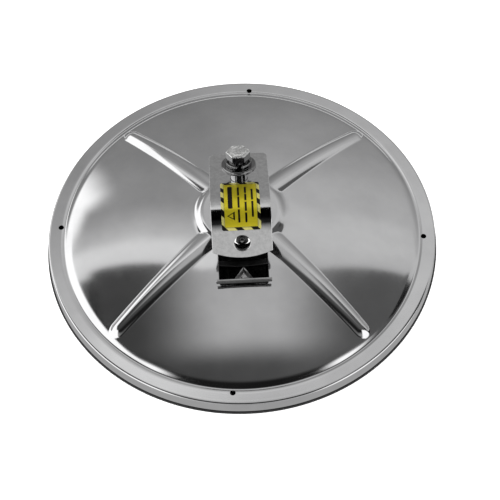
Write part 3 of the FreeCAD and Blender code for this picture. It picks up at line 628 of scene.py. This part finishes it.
def build_flat_washer(material):
    profile = rounded_profile([(3.6, WASHER_FOOT, 0.1), (WASHER_RADIUS, WASHER_FOOT, 0.3),
                               (WASHER_RADIUS, WASHER_TOP, 0.8), (3.6, WASHER_TOP, 0.25)])
    return weighted(make_object("plain_washer", revolve(profile, 96), BRACKET_FRAME, material,
                                "clamp_washers", ["flat_washer"]))


def build_lock_washer(material):
    """Split spring washer: a rounded square section swept nearly once round, its ends apart."""
    bm = bmesh.new()
    section = rounded_rectangle(3.45, LOCK_RADIUS, WASHER_TOP + 0.01, LOCK_TOP - 0.02, 0.3)
    gap = math.radians(9.0)
    lean = math.radians(5.0)
    count = 90
    rings = []
    for step in range(count + 1):
        angle = -math.pi / 2 + gap + (math.tau - 2 * gap) * step / count
        nearness = 1.0 - min(step, count - step) / 8.0
        shear = lean * max(nearness, 0.0)
        ring = []
        for radius, height in section:
            share = (height - WASHER_TOP) / (LOCK_TOP - WASHER_TOP) - 0.5
            turn = angle + shear * share * 2
            ring.append(bm.verts.new((radius * math.cos(turn), radius * math.sin(turn), height)))
        rings.append(ring)
    total = len(section)
    for lower, upper in zip(rings, rings[1:]):
        for index in range(total):
            following = (index + 1) % total
            bm.faces.new((lower[index], lower[following], upper[following], upper[index]))
    bm.faces.new(rings[0])
    bm.faces.new(rings[-1])
    return weighted(make_object("split_washer", bm, BRACKET_FRAME, material, "clamp_washers",
                                ["lock_washer"], 50.0))


def hex_radius(angle, half_flats, nose):
    """Distance to a hexagon's side, with its corners cut to a circle."""
    sixth = math.pi / 3
    local = (angle + math.pi / 2 + sixth / 2) % sixth - sixth / 2
    return min(half_flats / math.cos(local), nose)


def build_bolt(material):
    """Hexagon head with a turned chamfer and a dished top, on a threaded shank."""
    bm = bmesh.new()
    count = 144
    top = LOCK_TOP + HEAD_HEIGHT
    nose = 6.39
    chamfer = math.tan(math.radians(26.0))
    turn_start = HALF_FLATS * 1.02

    def ring(radius_of, height_of):
        spots = []
        for step in range(count):
            angle = math.tau * step / count
            radius = radius_of(angle)
            spots.append(bm.verts.new((radius * math.cos(angle), radius * math.sin(angle),
                                       height_of(radius))))
        return spots

    def side(angle):
        return hex_radius(angle, HALF_FLATS, nose)

    def round_side(angle):
        return min(side(angle), HALF_FLATS * 1.02)

    rings = [
        ring(lambda angle: THREAD_RADIUS - THREAD_DEPTH, lambda radius: LOCK_TOP),
        ring(lambda angle: HALF_FLATS * 0.94, lambda radius: LOCK_TOP),
        ring(lambda angle: HALF_FLATS * 0.94, lambda radius: LOCK_TOP + HEAD_RELIEF - 0.02),
        ring(round_side, lambda radius: LOCK_TOP + HEAD_RELIEF),
        ring(side, lambda radius: LOCK_TOP + HEAD_RELIEF + max(radius - HALF_FLATS * 1.02, 0.0) * chamfer),
        ring(side, lambda radius: top - max(radius - turn_start, 0.0) * chamfer - 0.12),
        ring(lambda angle: side(angle) - 0.12,
             lambda radius: top - max(radius - turn_start + 0.05, 0.0) * chamfer),
        ring(lambda angle: min(side(angle) - 0.3, turn_start - 0.1), lambda radius: top - 0.01),
        ring(lambda angle: 4.55, lambda radius: top),
        ring(lambda angle: 4.25, lambda radius: top - 0.05),
        ring(lambda angle: 3.9, lambda radius: top - 0.22),
        ring(lambda angle: 2.0, lambda radius: top - 0.30),
        ring(lambda angle: 0.7, lambda radius: top - 0.31),
    ]
    for lower, upper in zip(rings, rings[1:]):
        for index in range(count):
            following = (index + 1) % count
            bm.faces.new((lower[index], lower[following], upper[following], upper[index]))
    bm.faces.new(rings[-1])
    head = make_object("bolt_head", bm, BRACKET_FRAME, material, "clamp_bolt",
                       ["hex_bolt"], 28.0)
    shank = make_object("bolt_thread", thread_mesh(), BRACKET_FRAME, material, "clamp_bolt",
                        ["hex_bolt"], 40.0)
    return weighted(head), shank


def thread_mesh():
    """Helical thread under the head, running out into a short point."""
    bm = bmesh.new()
    around = 36
    per_turn = 10
    turns = int(SHANK_LENGTH / THREAD_PITCH)
    rows = turns * per_turn
    rings = []
    for row in range(rows + 1):
        height = LOCK_TOP - SHANK_LENGTH * row / rows
        to_tip = min(1.0, (rows - row) / (per_turn * 1.2))
        to_head = min(1.0, row / (per_turn * 0.8))
        ring = []
        for step in range(around):
            phase = (row / per_turn + step / around) % 1.0
            crest = 1.0 - abs(2.0 * phase - 1.0)
            crest = min(max(crest * 1.25 - 0.1, 0.0), 1.0)
            radius = THREAD_RADIUS - THREAD_DEPTH + THREAD_DEPTH * crest * to_head
            radius *= 0.8 + 0.2 * to_tip
            angle = math.tau * step / around
            ring.append(bm.verts.new((radius * math.cos(angle), radius * math.sin(angle), height)))
        rings.append(ring)
    for lower, upper in zip(rings, rings[1:]):
        for index in range(around):
            following = (index + 1) % around
            bm.faces.new((lower[index], lower[following], upper[following], upper[index]))
    bm.faces.new(rings[0])
    bm.faces.new(rings[-1])
    return bm


# ---------------------------------------------------------------- bowl, gasket, glass

def dome(radius):
    return math.sqrt(DOME_RADIUS ** 2 - radius ** 2) + DOME_TOP - DOME_RADIUS


def smooth(value):
    value = min(max(value, 0.0), 1.0)
    return value * value * (3 - 2 * value)


def soft_max(first, second, blend_width):
    share = min(max(0.5 + 0.5 * (second - first) / blend_width, 0.0), 1.0)
    return first + (second - first) * share + blend_width * share * (1 - share)


# Pressed ribs: distance from the bowl's axis, half width, and rise over the dome.
RIB_STATIONS = ((12.0, 6.0, 1.6), (28.0, 6.0, 1.65), (58.0, 5.2, 1.8), (90.8, 4.2, 1.85))
RIB_END = RIB_STATIONS[-1][0]
CURL_START = 93.6
CURL_DROP = 0.55


def rib_size(along):
    """Half width and rise of a rib at a distance from the bowl's axis."""
    for (start, half_start, rise_start), (end, half_end, rise_end) in zip(RIB_STATIONS, RIB_STATIONS[1:]):
        if along <= end:
            share = max((along - start) / (end - start), 0.0)
            return half_start + (half_end - half_start) * share, rise_start + (rise_end - rise_start) * share
    return RIB_STATIONS[-1][1:]


def bowl_height(radius, angle):
    """Outside of the pressed sheet inside the groove."""
    height = dome(radius)
    boss = smooth((26.0 - radius) / 5.6)
    height += (BOSS_TOP - height) * boss
    for rib in RIB_ANGLES:
        turn = (angle - rib + math.pi) % math.tau - math.pi
        along, off = radius * math.cos(turn), radius * math.sin(turn)
        if along < 12.0 or abs(off) > 8.0:
            continue
        half, rise = rib_size(along)
        reach = math.hypot(off, max(along - RIB_END, 0.0)) / half
        crest = dome(radius) + rise * (1.0 - reach * reach)
        height = soft_max(height, crest, 0.2)
    curl = max((radius - CURL_START) / (GROOVE_RADIUS - CURL_START), 0.0)
    return height - CURL_DROP * curl ** 2.2


def bowl_profile():
    """(radius, height) from the groove outwards; height is fixed round the rim."""
    groove = ((97.75, 0.17), (98.1, 0.30), (98.45, 0.32), (98.8, 0.22), (99.15, 0.09), (99.5, 0.02),
              (99.8, 0.0))
    rim = [(radius, FLANGE_LEVEL - depth) for radius, depth in groove]
    rim += [(radius, FLANGE_LEVEL - (radius - 99.8) * 0.06) for radius in (101.0, 102.5, 104.0, 104.9)]
    corner = BAND_TOP - FLANGE_END
    for step in range(0, 9):
        turn = math.pi / 2 * step / 8
        drop = corner - 0.33
        rim.append((FLANGE_END + corner * math.sin(turn), FLANGE_LEVEL - 0.33 - drop * (1 - math.cos(turn))))
    for share in (0.2, 0.45, 0.7, 0.88):
        rim.append((BAND_TOP + (BAND_BOTTOM - BAND_TOP) * share,
                    FLANGE_LEVEL - corner + (BAND_LEVEL - FLANGE_LEVEL + corner) * share))
    rim += [(BAND_BOTTOM + 0.02, BAND_LEVEL + 0.35), (BAND_BOTTOM - 0.02, BAND_LEVEL + 0.1),
            (BAND_BOTTOM - 0.15, BAND_LEVEL)]
    return rim


def bowl_angles(per_rib=120):
    """Angles closer together near each rib."""
    quarter = math.pi / 4
    angles = []
    for rib in RIB_ANGLES:
        for step in range(per_rib):
            share = 2.0 * step / per_rib - 1.0
            angles.append(rib + quarter * (0.35 * share + 0.65 * share ** 3))
    return angles


def build_bowl(material):
    bm = bmesh.new()
    angles = bowl_angles()
    radii = [BOSS_OPENING + 0.7 * step for step in range(17)]
    while radii[-1] < 86.0:
        radii.append(radii[-1] + 1.15)
    while radii[-1] < GROOVE_RADIUS - 0.5:
        radii.append(radii[-1] + 0.75)
    radii[-1] = GROOVE_RADIUS
    rings = [[bm.verts.new((radius * math.cos(angle), radius * math.sin(angle), bowl_height(radius, angle)))
              for angle in angles] for radius in radii]
    rings += [[bm.verts.new((radius * math.cos(angle), radius * math.sin(angle), height)) for angle in angles]
              for radius, height in bowl_profile()]
    for inner, outer in zip(rings, rings[1:]):
        for index in range(len(angles)):
            following = (index + 1) % len(angles)
            bm.faces.new((inner[index], outer[index], outer[following], inner[following]))
    shell = make_object("bowl_shell", bm, HEAD_FRAME, material, "head", ["back_bowl"], 40.0)
    thicken = shell.modifiers.new("Sheet", "SOLIDIFY")
    thicken.thickness = BOWL_SHEET * MM
    thicken.offset = -1.0
    cut_drain_holes(shell)
    return shell


def cut_drain_holes(shell):
    """Four drain holes in the flange, half way between the ribs."""
    cutters = bmesh.new()
    for step in range(4):
        angle = math.radians(DRAIN_TURN + 90.0 * step)
        spot = Vector((DRAIN_CIRCLE * math.cos(angle), DRAIN_CIRCLE * math.sin(angle), FLANGE_LEVEL))
        place = Matrix.Translation(spot + BALL)
        bmesh.ops.create_cone(cutters, cap_ends=True, segments=40, radius1=DRAIN_RADIUS,
                              radius2=DRAIN_RADIUS, depth=6.0,
                              matrix=place)
    bmesh.ops.transform(cutters, matrix=Matrix.Scale(MM, 4), verts=cutters.verts)
    mesh = bpy.data.meshes.new("drain_cutters")
    cutters.to_mesh(mesh)
    cutters.free()
    tool = bpy.data.objects.new("drain_cutters", mesh)
    bpy.context.collection.objects.link(tool)
    cut = shell.modifiers.new("Drains", "BOOLEAN")
    cut.operation = "DIFFERENCE"
    cut.solver = "MANIFOLD"
    cut.object = tool
    finished = bpy.data.meshes.new_from_object(shell.evaluated_get(bpy.context.evaluated_depsgraph_get()))
    shell.modifiers.clear()
    shell.data = finished
    finished.name = shell.name
    bpy.data.objects.remove(tool)


def build_gasket(material):
    """Rubber edge: a rounded bead below the band, with a fine parting line."""
    profile = rounded_profile([
        (102.5, -16.8, 0.3), (105.3, -16.8, 0.3), (106.1, BAND_LEVEL - 0.1, 0.0),
        (107.75, BAND_LEVEL - 0.1, 0.45), (107.9, -22.2, 0.1), (107.72, -22.35, 0.05), (107.9, -22.5, 0.1),
        (107.8, -23.5, 0.7), (102.5, -23.5, 0.4), (102.5, -22.5, 0.0), (104.85, -22.0, 0.0),
        (104.85, -19.3, 0.0), (102.5, -19.3, 0.0),
    ])
    return make_object("rubber_edge", revolve(profile, 360), HEAD_FRAME, material, "head",
                       ["edge_gasket"], 50.0)


GLASS_CURVE = 510.0
GLASS_RADIUS = 104.8
GLASS_EDGE = -21.9
GLASS_THICKNESS = 2.5


GROUND_EDGE = 0.3


def build_glass(material):
    """Convex glass, its front down, with a ground edge."""
    centre = GLASS_EDGE + math.sqrt(GLASS_CURVE ** 2 - GLASS_RADIUS ** 2)
    back = GLASS_CURVE - GLASS_THICKNESS
    steps = 26
    radii = [GLASS_RADIUS * step / steps for step in range(steps)] + [GLASS_RADIUS - GROUND_EDGE]
    profile = [(radius, centre - math.sqrt(GLASS_CURVE ** 2 - radius ** 2)) for radius in radii]
    profile.append((GLASS_RADIUS, GLASS_EDGE + GROUND_EDGE))
    back_edge = centre - math.sqrt(back ** 2 - GLASS_RADIUS ** 2)
    profile.append((GLASS_RADIUS, back_edge - GROUND_EDGE))
    profile += [(radius, centre - math.sqrt(back ** 2 - radius ** 2)) for radius in reversed(radii)]
    return make_object("silvered_glass", revolve(profile, 180, closed=False), HEAD_FRAME, material, "head",
                       ["mirror_glass"])


# ---------------------------------------------------------------- stop plate

STOP_SHEET = 2.0
STOP_HALF = 13.25
STOP_INNER = 13.4
STOP_FOLD = 22.0
STOP_END = 43.8
STOP_END_LEVEL = 5.5
LIP_HALF = 14.75
LIP_SHEET = 1.2
LIP_TOP = 7.3
LIP_FOOT = 4.5
SCREW_CIRCLE = 18.0
SCREW_HOLE = 2.35
STOP_TOP = BOSS_TOP + STOP_SHEET
STOP_SLOPE = math.atan2(STOP_TOP - STOP_END_LEVEL, STOP_END - STOP_FOLD)


def build_stop_plate(material, lit_copy):
    fold_radius = 5.0
    start = STOP_FOLD - fold_radius * math.tan(STOP_SLOPE / 2)
    reach = STOP_FOLD + (STOP_END - STOP_FOLD) / math.cos(STOP_SLOPE) - 0.1
    bm = plate(lambda inset: rounded_rectangle(-STOP_HALF, STOP_HALF, STOP_INNER, reach, 0.8, inset),
               [(0.0, SCREW_CIRCLE, SCREW_HOLE)], -STOP_SHEET, 0.0, 0.25,
               bend_rows(start, fold_radius, STOP_SLOPE, 8))
    bend(bm, start, fold_radius, STOP_SLOPE)
    raised = HEAD_FRAME @ Matrix.Translation((0, 0, STOP_TOP))
    sheet = make_object("stop_strip", bm, raised, material, "head", ["stop_plate"])
    upright = Matrix(((1, 0, 0, 0), (0, 0, -1, -STOP_END), (0, 1, 0, 0), (0, 0, 0, 1)))
    lip_mesh = plate(lambda inset: rounded_rectangle(-LIP_HALF, LIP_HALF, LIP_FOOT, LIP_TOP, 0.7, inset),
                     [], 0.0, LIP_SHEET, 0.25)
    lip = make_object("stop_lip", lip_mesh, HEAD_FRAME @ upright, lit_copy, "head", ["stop_plate"])
    dart = make_object("stop_dart", dart_mesh(), HEAD_FRAME, lit_copy, "head", ["stop_plate"], 60.0)
    return weighted(sheet), weighted(lip), dart


def dart_mesh():
    """Pressed dart: a smooth wedge that widens and rises towards the lip."""
    bm = bmesh.new()
    length, half, rise = 7.8, 5.9, 2.1
    rows, columns = 24, 24
    grid = []
    for row in range(rows + 1):
        share = row / rows
        back = STOP_END - length * (1 - share)
        floor = STOP_END_LEVEL + math.tan(STOP_SLOPE) * (STOP_END - back) - 0.12
        line = []
        for column in range(columns + 1):
            side = 2.0 * column / columns - 1.0
            ridge = math.sqrt(side * side + 0.012) - math.sqrt(0.012)
            crown = (1.0 - ridge / (math.sqrt(1.012) - math.sqrt(0.012)))
            line.append(bm.verts.new((half * (0.02 + 0.98 * share) * side, -back,
                                      floor + rise * share * crown)))
        grid.append(line)
    for lower, upper in zip(grid, grid[1:]):
        for column in range(columns):
            bm.faces.new((lower[column], lower[column + 1], upper[column + 1], upper[column]))
    rim = [line[0] for line in grid] + grid[-1][1:] + [line[-1] for line in reversed(grid[:-1])]
    rim += list(reversed(grid[0][1:-1]))
    base = [bm.verts.new((vert.co.x, vert.co.y, vert.co.z if vert.co.z < LIP_FOOT else LIP_FOOT + 0.7))
            for vert in rim]
    for index in range(len(rim)):
        following = (index + 1) % len(rim)
        bm.faces.new((rim[index], rim[following], base[following], base[index]))
    bm.faces.new(base)
    return bm


# ---------------------------------------------------------------- assembly

def repaint(node, material):
    for entry in frame["nodes"][node].material_slots:
        entry.material = material


def build_object():
    zinc = bright_zinc("bright_zinc", (0.25, 0.25, 0.25), 0.05, 0.11)
    build_bracket(bracket_steel(), shaded_inside_steel())
    label = build_label(printed_label())
    build_flat_washer(zinc)
    build_lock_washer(zinc)
    build_bolt(bolt_steel())
    bowl = build_bowl(bowl_steel())
    build_gasket(rubber())
    build_glass(mirror_glass())
    # Two tones of one steel: the darker copy paints shade on the strip, the lighter one paints highlights on
    # the lip and dart.
    build_stop_plate(dark_steel("shaded_copy_polished_steel", (0.10, 0.10, 0.10)),
                     dark_steel("lit_copy_polished_steel", (0.40, 0.40, 0.40)))
    repaint("ball_stud", bright_zinc("plated_stud", (0.5, 0.5, 0.5), 0.06, 0.14))
    screws = bright_zinc("screw_zinc", (0.74, 0.74, 0.72), 0.12, 0.26)
    repaint("stop_screw", bright_zinc("dome_zinc", (0.80, 0.80, 0.79), 0.03, 0.08))
    for node in ("tension_screws", "lock_nuts"):
        repaint(node, screws)
    repaint("tension_springs", spring_steel())
    repaint("upper_seat", nylon())
    repaint("lower_seat", nylon())
    plating = plated_steel()
    repaint("socket_plate", plating)
    repaint("pressure_plate", plating)
    return bowl, label


# ---------------------------------------------------------------- stage, light and camera

FLOOR_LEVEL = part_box("mirror_glass")[0].z - 0.1 * MM


def build_floor():
    """Pale paper. Reflections show a darker, graded paper in place of the one the camera sees: a painted
    shadow round the object and painted darkness in front of it.
    """
    bm = bmesh.new()
    bmesh.ops.create_grid(bm, x_segments=8, y_segments=8, size=3.0)
    mesh = bpy.data.meshes.new("floor")
    bm.to_mesh(mesh)
    bm.free()
    floor = bpy.data.objects.new("floor", mesh)
    floor.location.z = FLOOR_LEVEL
    bpy.context.collection.objects.link(floor)
    paper = Nodes("studio_paper", (0.90, 0.90, 0.90), 0.0, 0.9)
    paper.shader.inputs["Emission Color"].default_value = (1.0, 1.0, 1.0, 1.0)
    paper.shader.inputs["Emission Strength"].default_value = 0.7
    parts = paper.add("ShaderNodeSeparateXYZ")
    paper.link(paper.place, parts.inputs[0])
    flat = paper.add("ShaderNodeVectorMath", operation="LENGTH")
    paper.link(paper.place, flat.inputs[0])
    away = flat.outputs["Value"]
    # Painted shade for reflections only: darker near the object as a painted shadow, and nearly black in a
    # wedge in front as a painted reflection of a dark front.
    paper_shade_by_distance = paper.spread(away, 0.46, 0.75, 0.12, 0.30)
    ahead = paper.math("SUBTRACT", paper.math("MULTIPLY", parts.outputs[1], -1.0),
                       paper.math("MULTIPLY", paper.math("ABSOLUTE", parts.outputs[0]), 1.9))
    painted_reflected_paper = paper.math("MULTIPLY", paper_shade_by_distance, paper.spread(ahead, 1.0, 0.02, 0.15, 0.26))
    glow = paper.add("ShaderNodeEmission")
    paper.link(painted_reflected_paper, glow.inputs["Color"])
    path = paper.add("ShaderNodeLightPath")
    choice = paper.add("ShaderNodeMixShader")
    paper.link(path.outputs["Is Glossy Ray"], choice.inputs[0])
    paper.link(paper.shader.outputs[0], choice.inputs[1])
    paper.link(glow.outputs[0], choice.inputs[2])
    paper.link(choice.outputs[0], paper.tree.nodes["Material Output"].inputs["Surface"])
    mesh.materials.append(paper.material)
    return floor


def only_for(light, *receivers):
    """The light falls on these objects alone."""
    group = bpy.data.collections.new(light.name + "_receivers")
    for receiver in receivers:
        group.objects.link(receiver)
    light.light_linking.receiver_collection = group


def area_light(name, direction, distance, width, height, radiance):
    """Rectangular softbox facing the bowl's centre. Radiance is what a mirror would show."""
    data = bpy.data.lights.new(name, "AREA")
    data.shape = "RECTANGLE"
    data.size = width
    data.size_y = height
    data.energy = radiance * math.pi * width * height
    light = bpy.data.objects.new(name, data)
    away = Vector(direction).normalized()
    facing = away.to_track_quat("Z", "Y").to_matrix().to_4x4()
    light.matrix_world = Matrix.Translation(away * distance) @ facing
    bpy.context.collection.objects.link(light)
    return light


def floor_light(floor):
    """Three wide soft lights round the set keep the paper pale and its shadow faint."""
    for step in range(3):
        data = bpy.data.lights.new(f"paper_light_{step}", "SUN")
        data.energy = 1.3
        data.angle = math.radians(110.0)
        light = bpy.data.objects.new(data.name, data)
        turn = math.radians(30.0 + 120.0 * step)
        light.rotation_euler = (0.0, math.radians(50.0), turn)
        bpy.context.collection.objects.link(light)
        only_for(light, floor)


# Studio brightness over the top of the set, shaped for what the polished bowl reflects at rest:
# degrees from the horizon behind, and radiance.
EDGE = 74.0
LEFT_SKY = ((0.0, 0.22), (16.0, 0.28), (28.0, 0.31), (42.0, 0.35), (50.0, 0.36), (54.5, 0.47), (62.0, 0.66),
            (65.0, 0.95), (EDGE, 0.92), (EDGE + 1.5, 0.012), (132.0, 0.012), (152.0, 0.42), (165.0, 0.60))
RIGHT_SKY = ((0.0, 0.24), (14.0, 0.33), (28.0, 0.42), (35.0, 0.455), (44.0, 0.56), (50.0, 0.58), (55.0, 0.68),
             (64.0, 0.69), (EDGE, 0.60), (EDGE + 2.0, 0.012), (132.0, 0.012), (152.0, 0.42), (165.0, 0.60))


class Sky:
    """Shared sums over a direction: its angle over the top, and how far it leans sideways."""

    def __init__(self, nodes, direction):
        self.nodes = nodes
        parts = nodes.add("ShaderNodeSeparateXYZ")
        nodes.link(direction, parts.inputs[0])
        self.x = parts.outputs[0]
        turn = nodes.math("ARCTAN2", parts.outputs[2], parts.outputs[1])
        self.over = nodes.math("MULTIPLY", turn, 180.0 / math.pi)
        right = nodes.math("MULTIPLY", nodes.math("MAXIMUM", nodes.math("SUBTRACT", self.x, 0.38), 0.0), 19.0)
        left = nodes.math("MULTIPLY", nodes.math("MAXIMUM", nodes.math("SUBTRACT", -0.2, self.x), 0.0), 27.0)
        self.shifted = nodes.math("ADD", self.over, nodes.math("ADD", right, left))

    def ramp(self, stops):
        node = self.nodes.add("ShaderNodeValToRGB")
        self.nodes.link(self.nodes.math("DIVIDE", self.shifted, 180.0), node.inputs["Fac"])
        elements = node.color_ramp.elements
        for index, (degrees, radiance) in enumerate(stops):
            stop = elements[index] if index < 2 else elements.new(degrees / 180.0)
            stop.position = degrees / 180.0
            stop.color = (radiance, radiance, radiance, 1.0)
        return node.outputs["Color"]

    def rise(self, value, start, end):
        node = self.nodes.add("ShaderNodeMapRange", interpolation_type="SMOOTHSTEP")
        self.nodes.link(value, node.inputs["Value"])
        node.inputs["From Min"].default_value = start
        node.inputs["From Max"].default_value = end
        return node.outputs["Result"]


def build_world():
    """Grey studio behind, dark overhead and in front, white panels low on both sides."""
    world = bpy.data.worlds.new("studio")
    bpy.context.scene.world = world
    world.use_nodes = True
    nodes = Tree(world.node_tree)
    background = world.node_tree.nodes["Background"]
    sky = Sky(nodes, nodes.add("ShaderNodeTexCoord").outputs["Generated"])
    general = nodes.blend_colors(sky.rise(sky.x, -0.15, 0.12), sky.ramp(LEFT_SKY), sky.ramp(RIGHT_SKY))
    outward = nodes.math("MAXIMUM", nodes.math("SUBTRACT", -0.57, sky.x), 0.0)
    ceiling = nodes.math("SUBTRACT", sky.over, nodes.math("MULTIPLY", outward, 120.0))
    left_panel = nodes.math("MULTIPLY", sky.rise(sky.x, -0.44, -0.56), sky.rise(ceiling, 40.0, 33.0))
    left_panel = nodes.math("MULTIPLY", left_panel, sky.rise(sky.over, 14.0, 25.0))
    left_wall = nodes.math("MULTIPLY", sky.rise(sky.x, -0.66, -0.72), sky.rise(sky.over, 25.0, 40.0))
    left_wall = nodes.math("MULTIPLY", left_wall, sky.rise(sky.over, 140.0, 128.0))
    left_panel = nodes.math("MAXIMUM", left_panel, left_wall)
    aside = nodes.math("ABSOLUTE", sky.x)
    front_panels = nodes.math("MULTIPLY", sky.rise(aside, 0.42, 0.58), sky.rise(sky.over, 98.0, 116.0))
    white = nodes.math("MAXIMUM", left_panel, front_panels)
    nodes.link(nodes.blend_colors(white, general, (1.5, 1.5, 1.5)), background.inputs["Color"])


def build_overhead_card(bowl):
    """Curved white card above the bowl, lit in the middle. Only the bowl shows it."""
    bm = bmesh.new()
    rows, columns = 40, 40
    grid = []
    for row in range(rows + 1):
        over = math.radians(56.0 + 74.0 * row / rows)
        line = []
        for column in range(columns + 1):
            side = math.radians(-58.0 + 116.0 * column / columns)
            direction = Vector((math.sin(side), math.cos(side) * math.cos(over),
                                math.cos(side) * math.sin(over)))
            line.append(bm.verts.new(direction + BALL * MM))
        grid.append(line)
    for lower, upper in zip(grid, grid[1:]):
        for column in range(columns):
            bm.faces.new((lower[column], lower[column + 1], upper[column + 1], upper[column]))
    mesh = bpy.data.meshes.new("overhead_card")
    bm.to_mesh(mesh)
    bm.free()
    card = bpy.data.objects.new("overhead_card", mesh)
    bpy.context.collection.objects.link(card)
    nodes = Nodes("card_glow", (1.0, 1.0, 1.0), 0.0, 1.0)
    sky = Sky(nodes, nodes.place)
    left_side = nodes.math("POWER", sky.rise(sky.x, -0.66, -0.10), 2.0)
    middle = nodes.math("MULTIPLY", left_side, sky.rise(sky.x, 0.54, 0.12))
    middle = nodes.math("MULTIPLY", middle, sky.rise(sky.over, 107.0, 97.0))
    glow = nodes.add("ShaderNodeEmission")
    base = nodes.spread(sky.x, 0.06, 0.115, -0.5, 0.4)
    nodes.link(nodes.math("ADD", base, nodes.math("MULTIPLY", middle, 0.47)), glow.inputs["Color"])
    cover = nodes.math("MULTIPLY", sky.rise(sky.shifted, EDGE, EDGE + 1.5), sky.rise(sky.over, 126.0, 112.0))
    cover = nodes.math("MULTIPLY", cover, sky.rise(sky.x, -0.71, -0.66))
    clear = nodes.add("ShaderNodeBsdfTransparent")
    choice = nodes.add("ShaderNodeMixShader")
    nodes.link(cover, choice.inputs[0])
    nodes.link(clear.outputs[0], choice.inputs[1])
    nodes.link(glow.outputs[0], choice.inputs[2])
    nodes.link(choice.outputs[0], nodes.tree.nodes["Material Output"].inputs["Surface"])
    mesh.materials.append(nodes.material)
    card.visible_camera = False
    card.visible_diffuse = False
    card.visible_shadow = False
    only_for(card, bowl)


def build_camera():
    """Long lens, above and in front of the leg, rolled a little."""
    target = Vector((3.99, -30.40, -24.43)) * MM
    azimuth, elevation, roll = math.radians(-0.89), math.radians(56.66), math.radians(-2.05)
    distance = 805.2 * MM
    away = Vector((math.sin(azimuth) * math.cos(elevation), -math.cos(azimuth) * math.cos(elevation),
                   math.sin(elevation)))
    right = (-away).cross(Vector((0, 0, 1))).normalized()
    up = right.cross(-away)
    turned_right = right * math.cos(roll) + up * math.sin(roll)
    turned_up = up * math.cos(roll) - right * math.sin(roll)
    data = bpy.data.cameras.new("camera")
    data.lens = 108.0
    data.sensor_width = 36.0
    data.clip_start = 0.02
    camera = bpy.data.objects.new("camera", data)
    axes = Matrix((turned_right, turned_up, away)).transposed().to_4x4()
    camera.matrix_world = Matrix.Translation(target + away * distance) @ axes
    bpy.context.collection.objects.link(camera)
    bpy.context.scene.camera = camera


bowl, label = build_object()
floor = build_floor()
build_world()
floor_light(floor)
build_overhead_card(bowl)
label_light = area_light("label_light", (0.0, 0.86, 0.51), 0.6, 0.5, 0.3, 3.1)
label_light.visible_glossy = False
only_for(label_light, label)
label.visible_glossy = False
build_camera()
bpy.context.scene.view_settings.view_transform = "Standard"
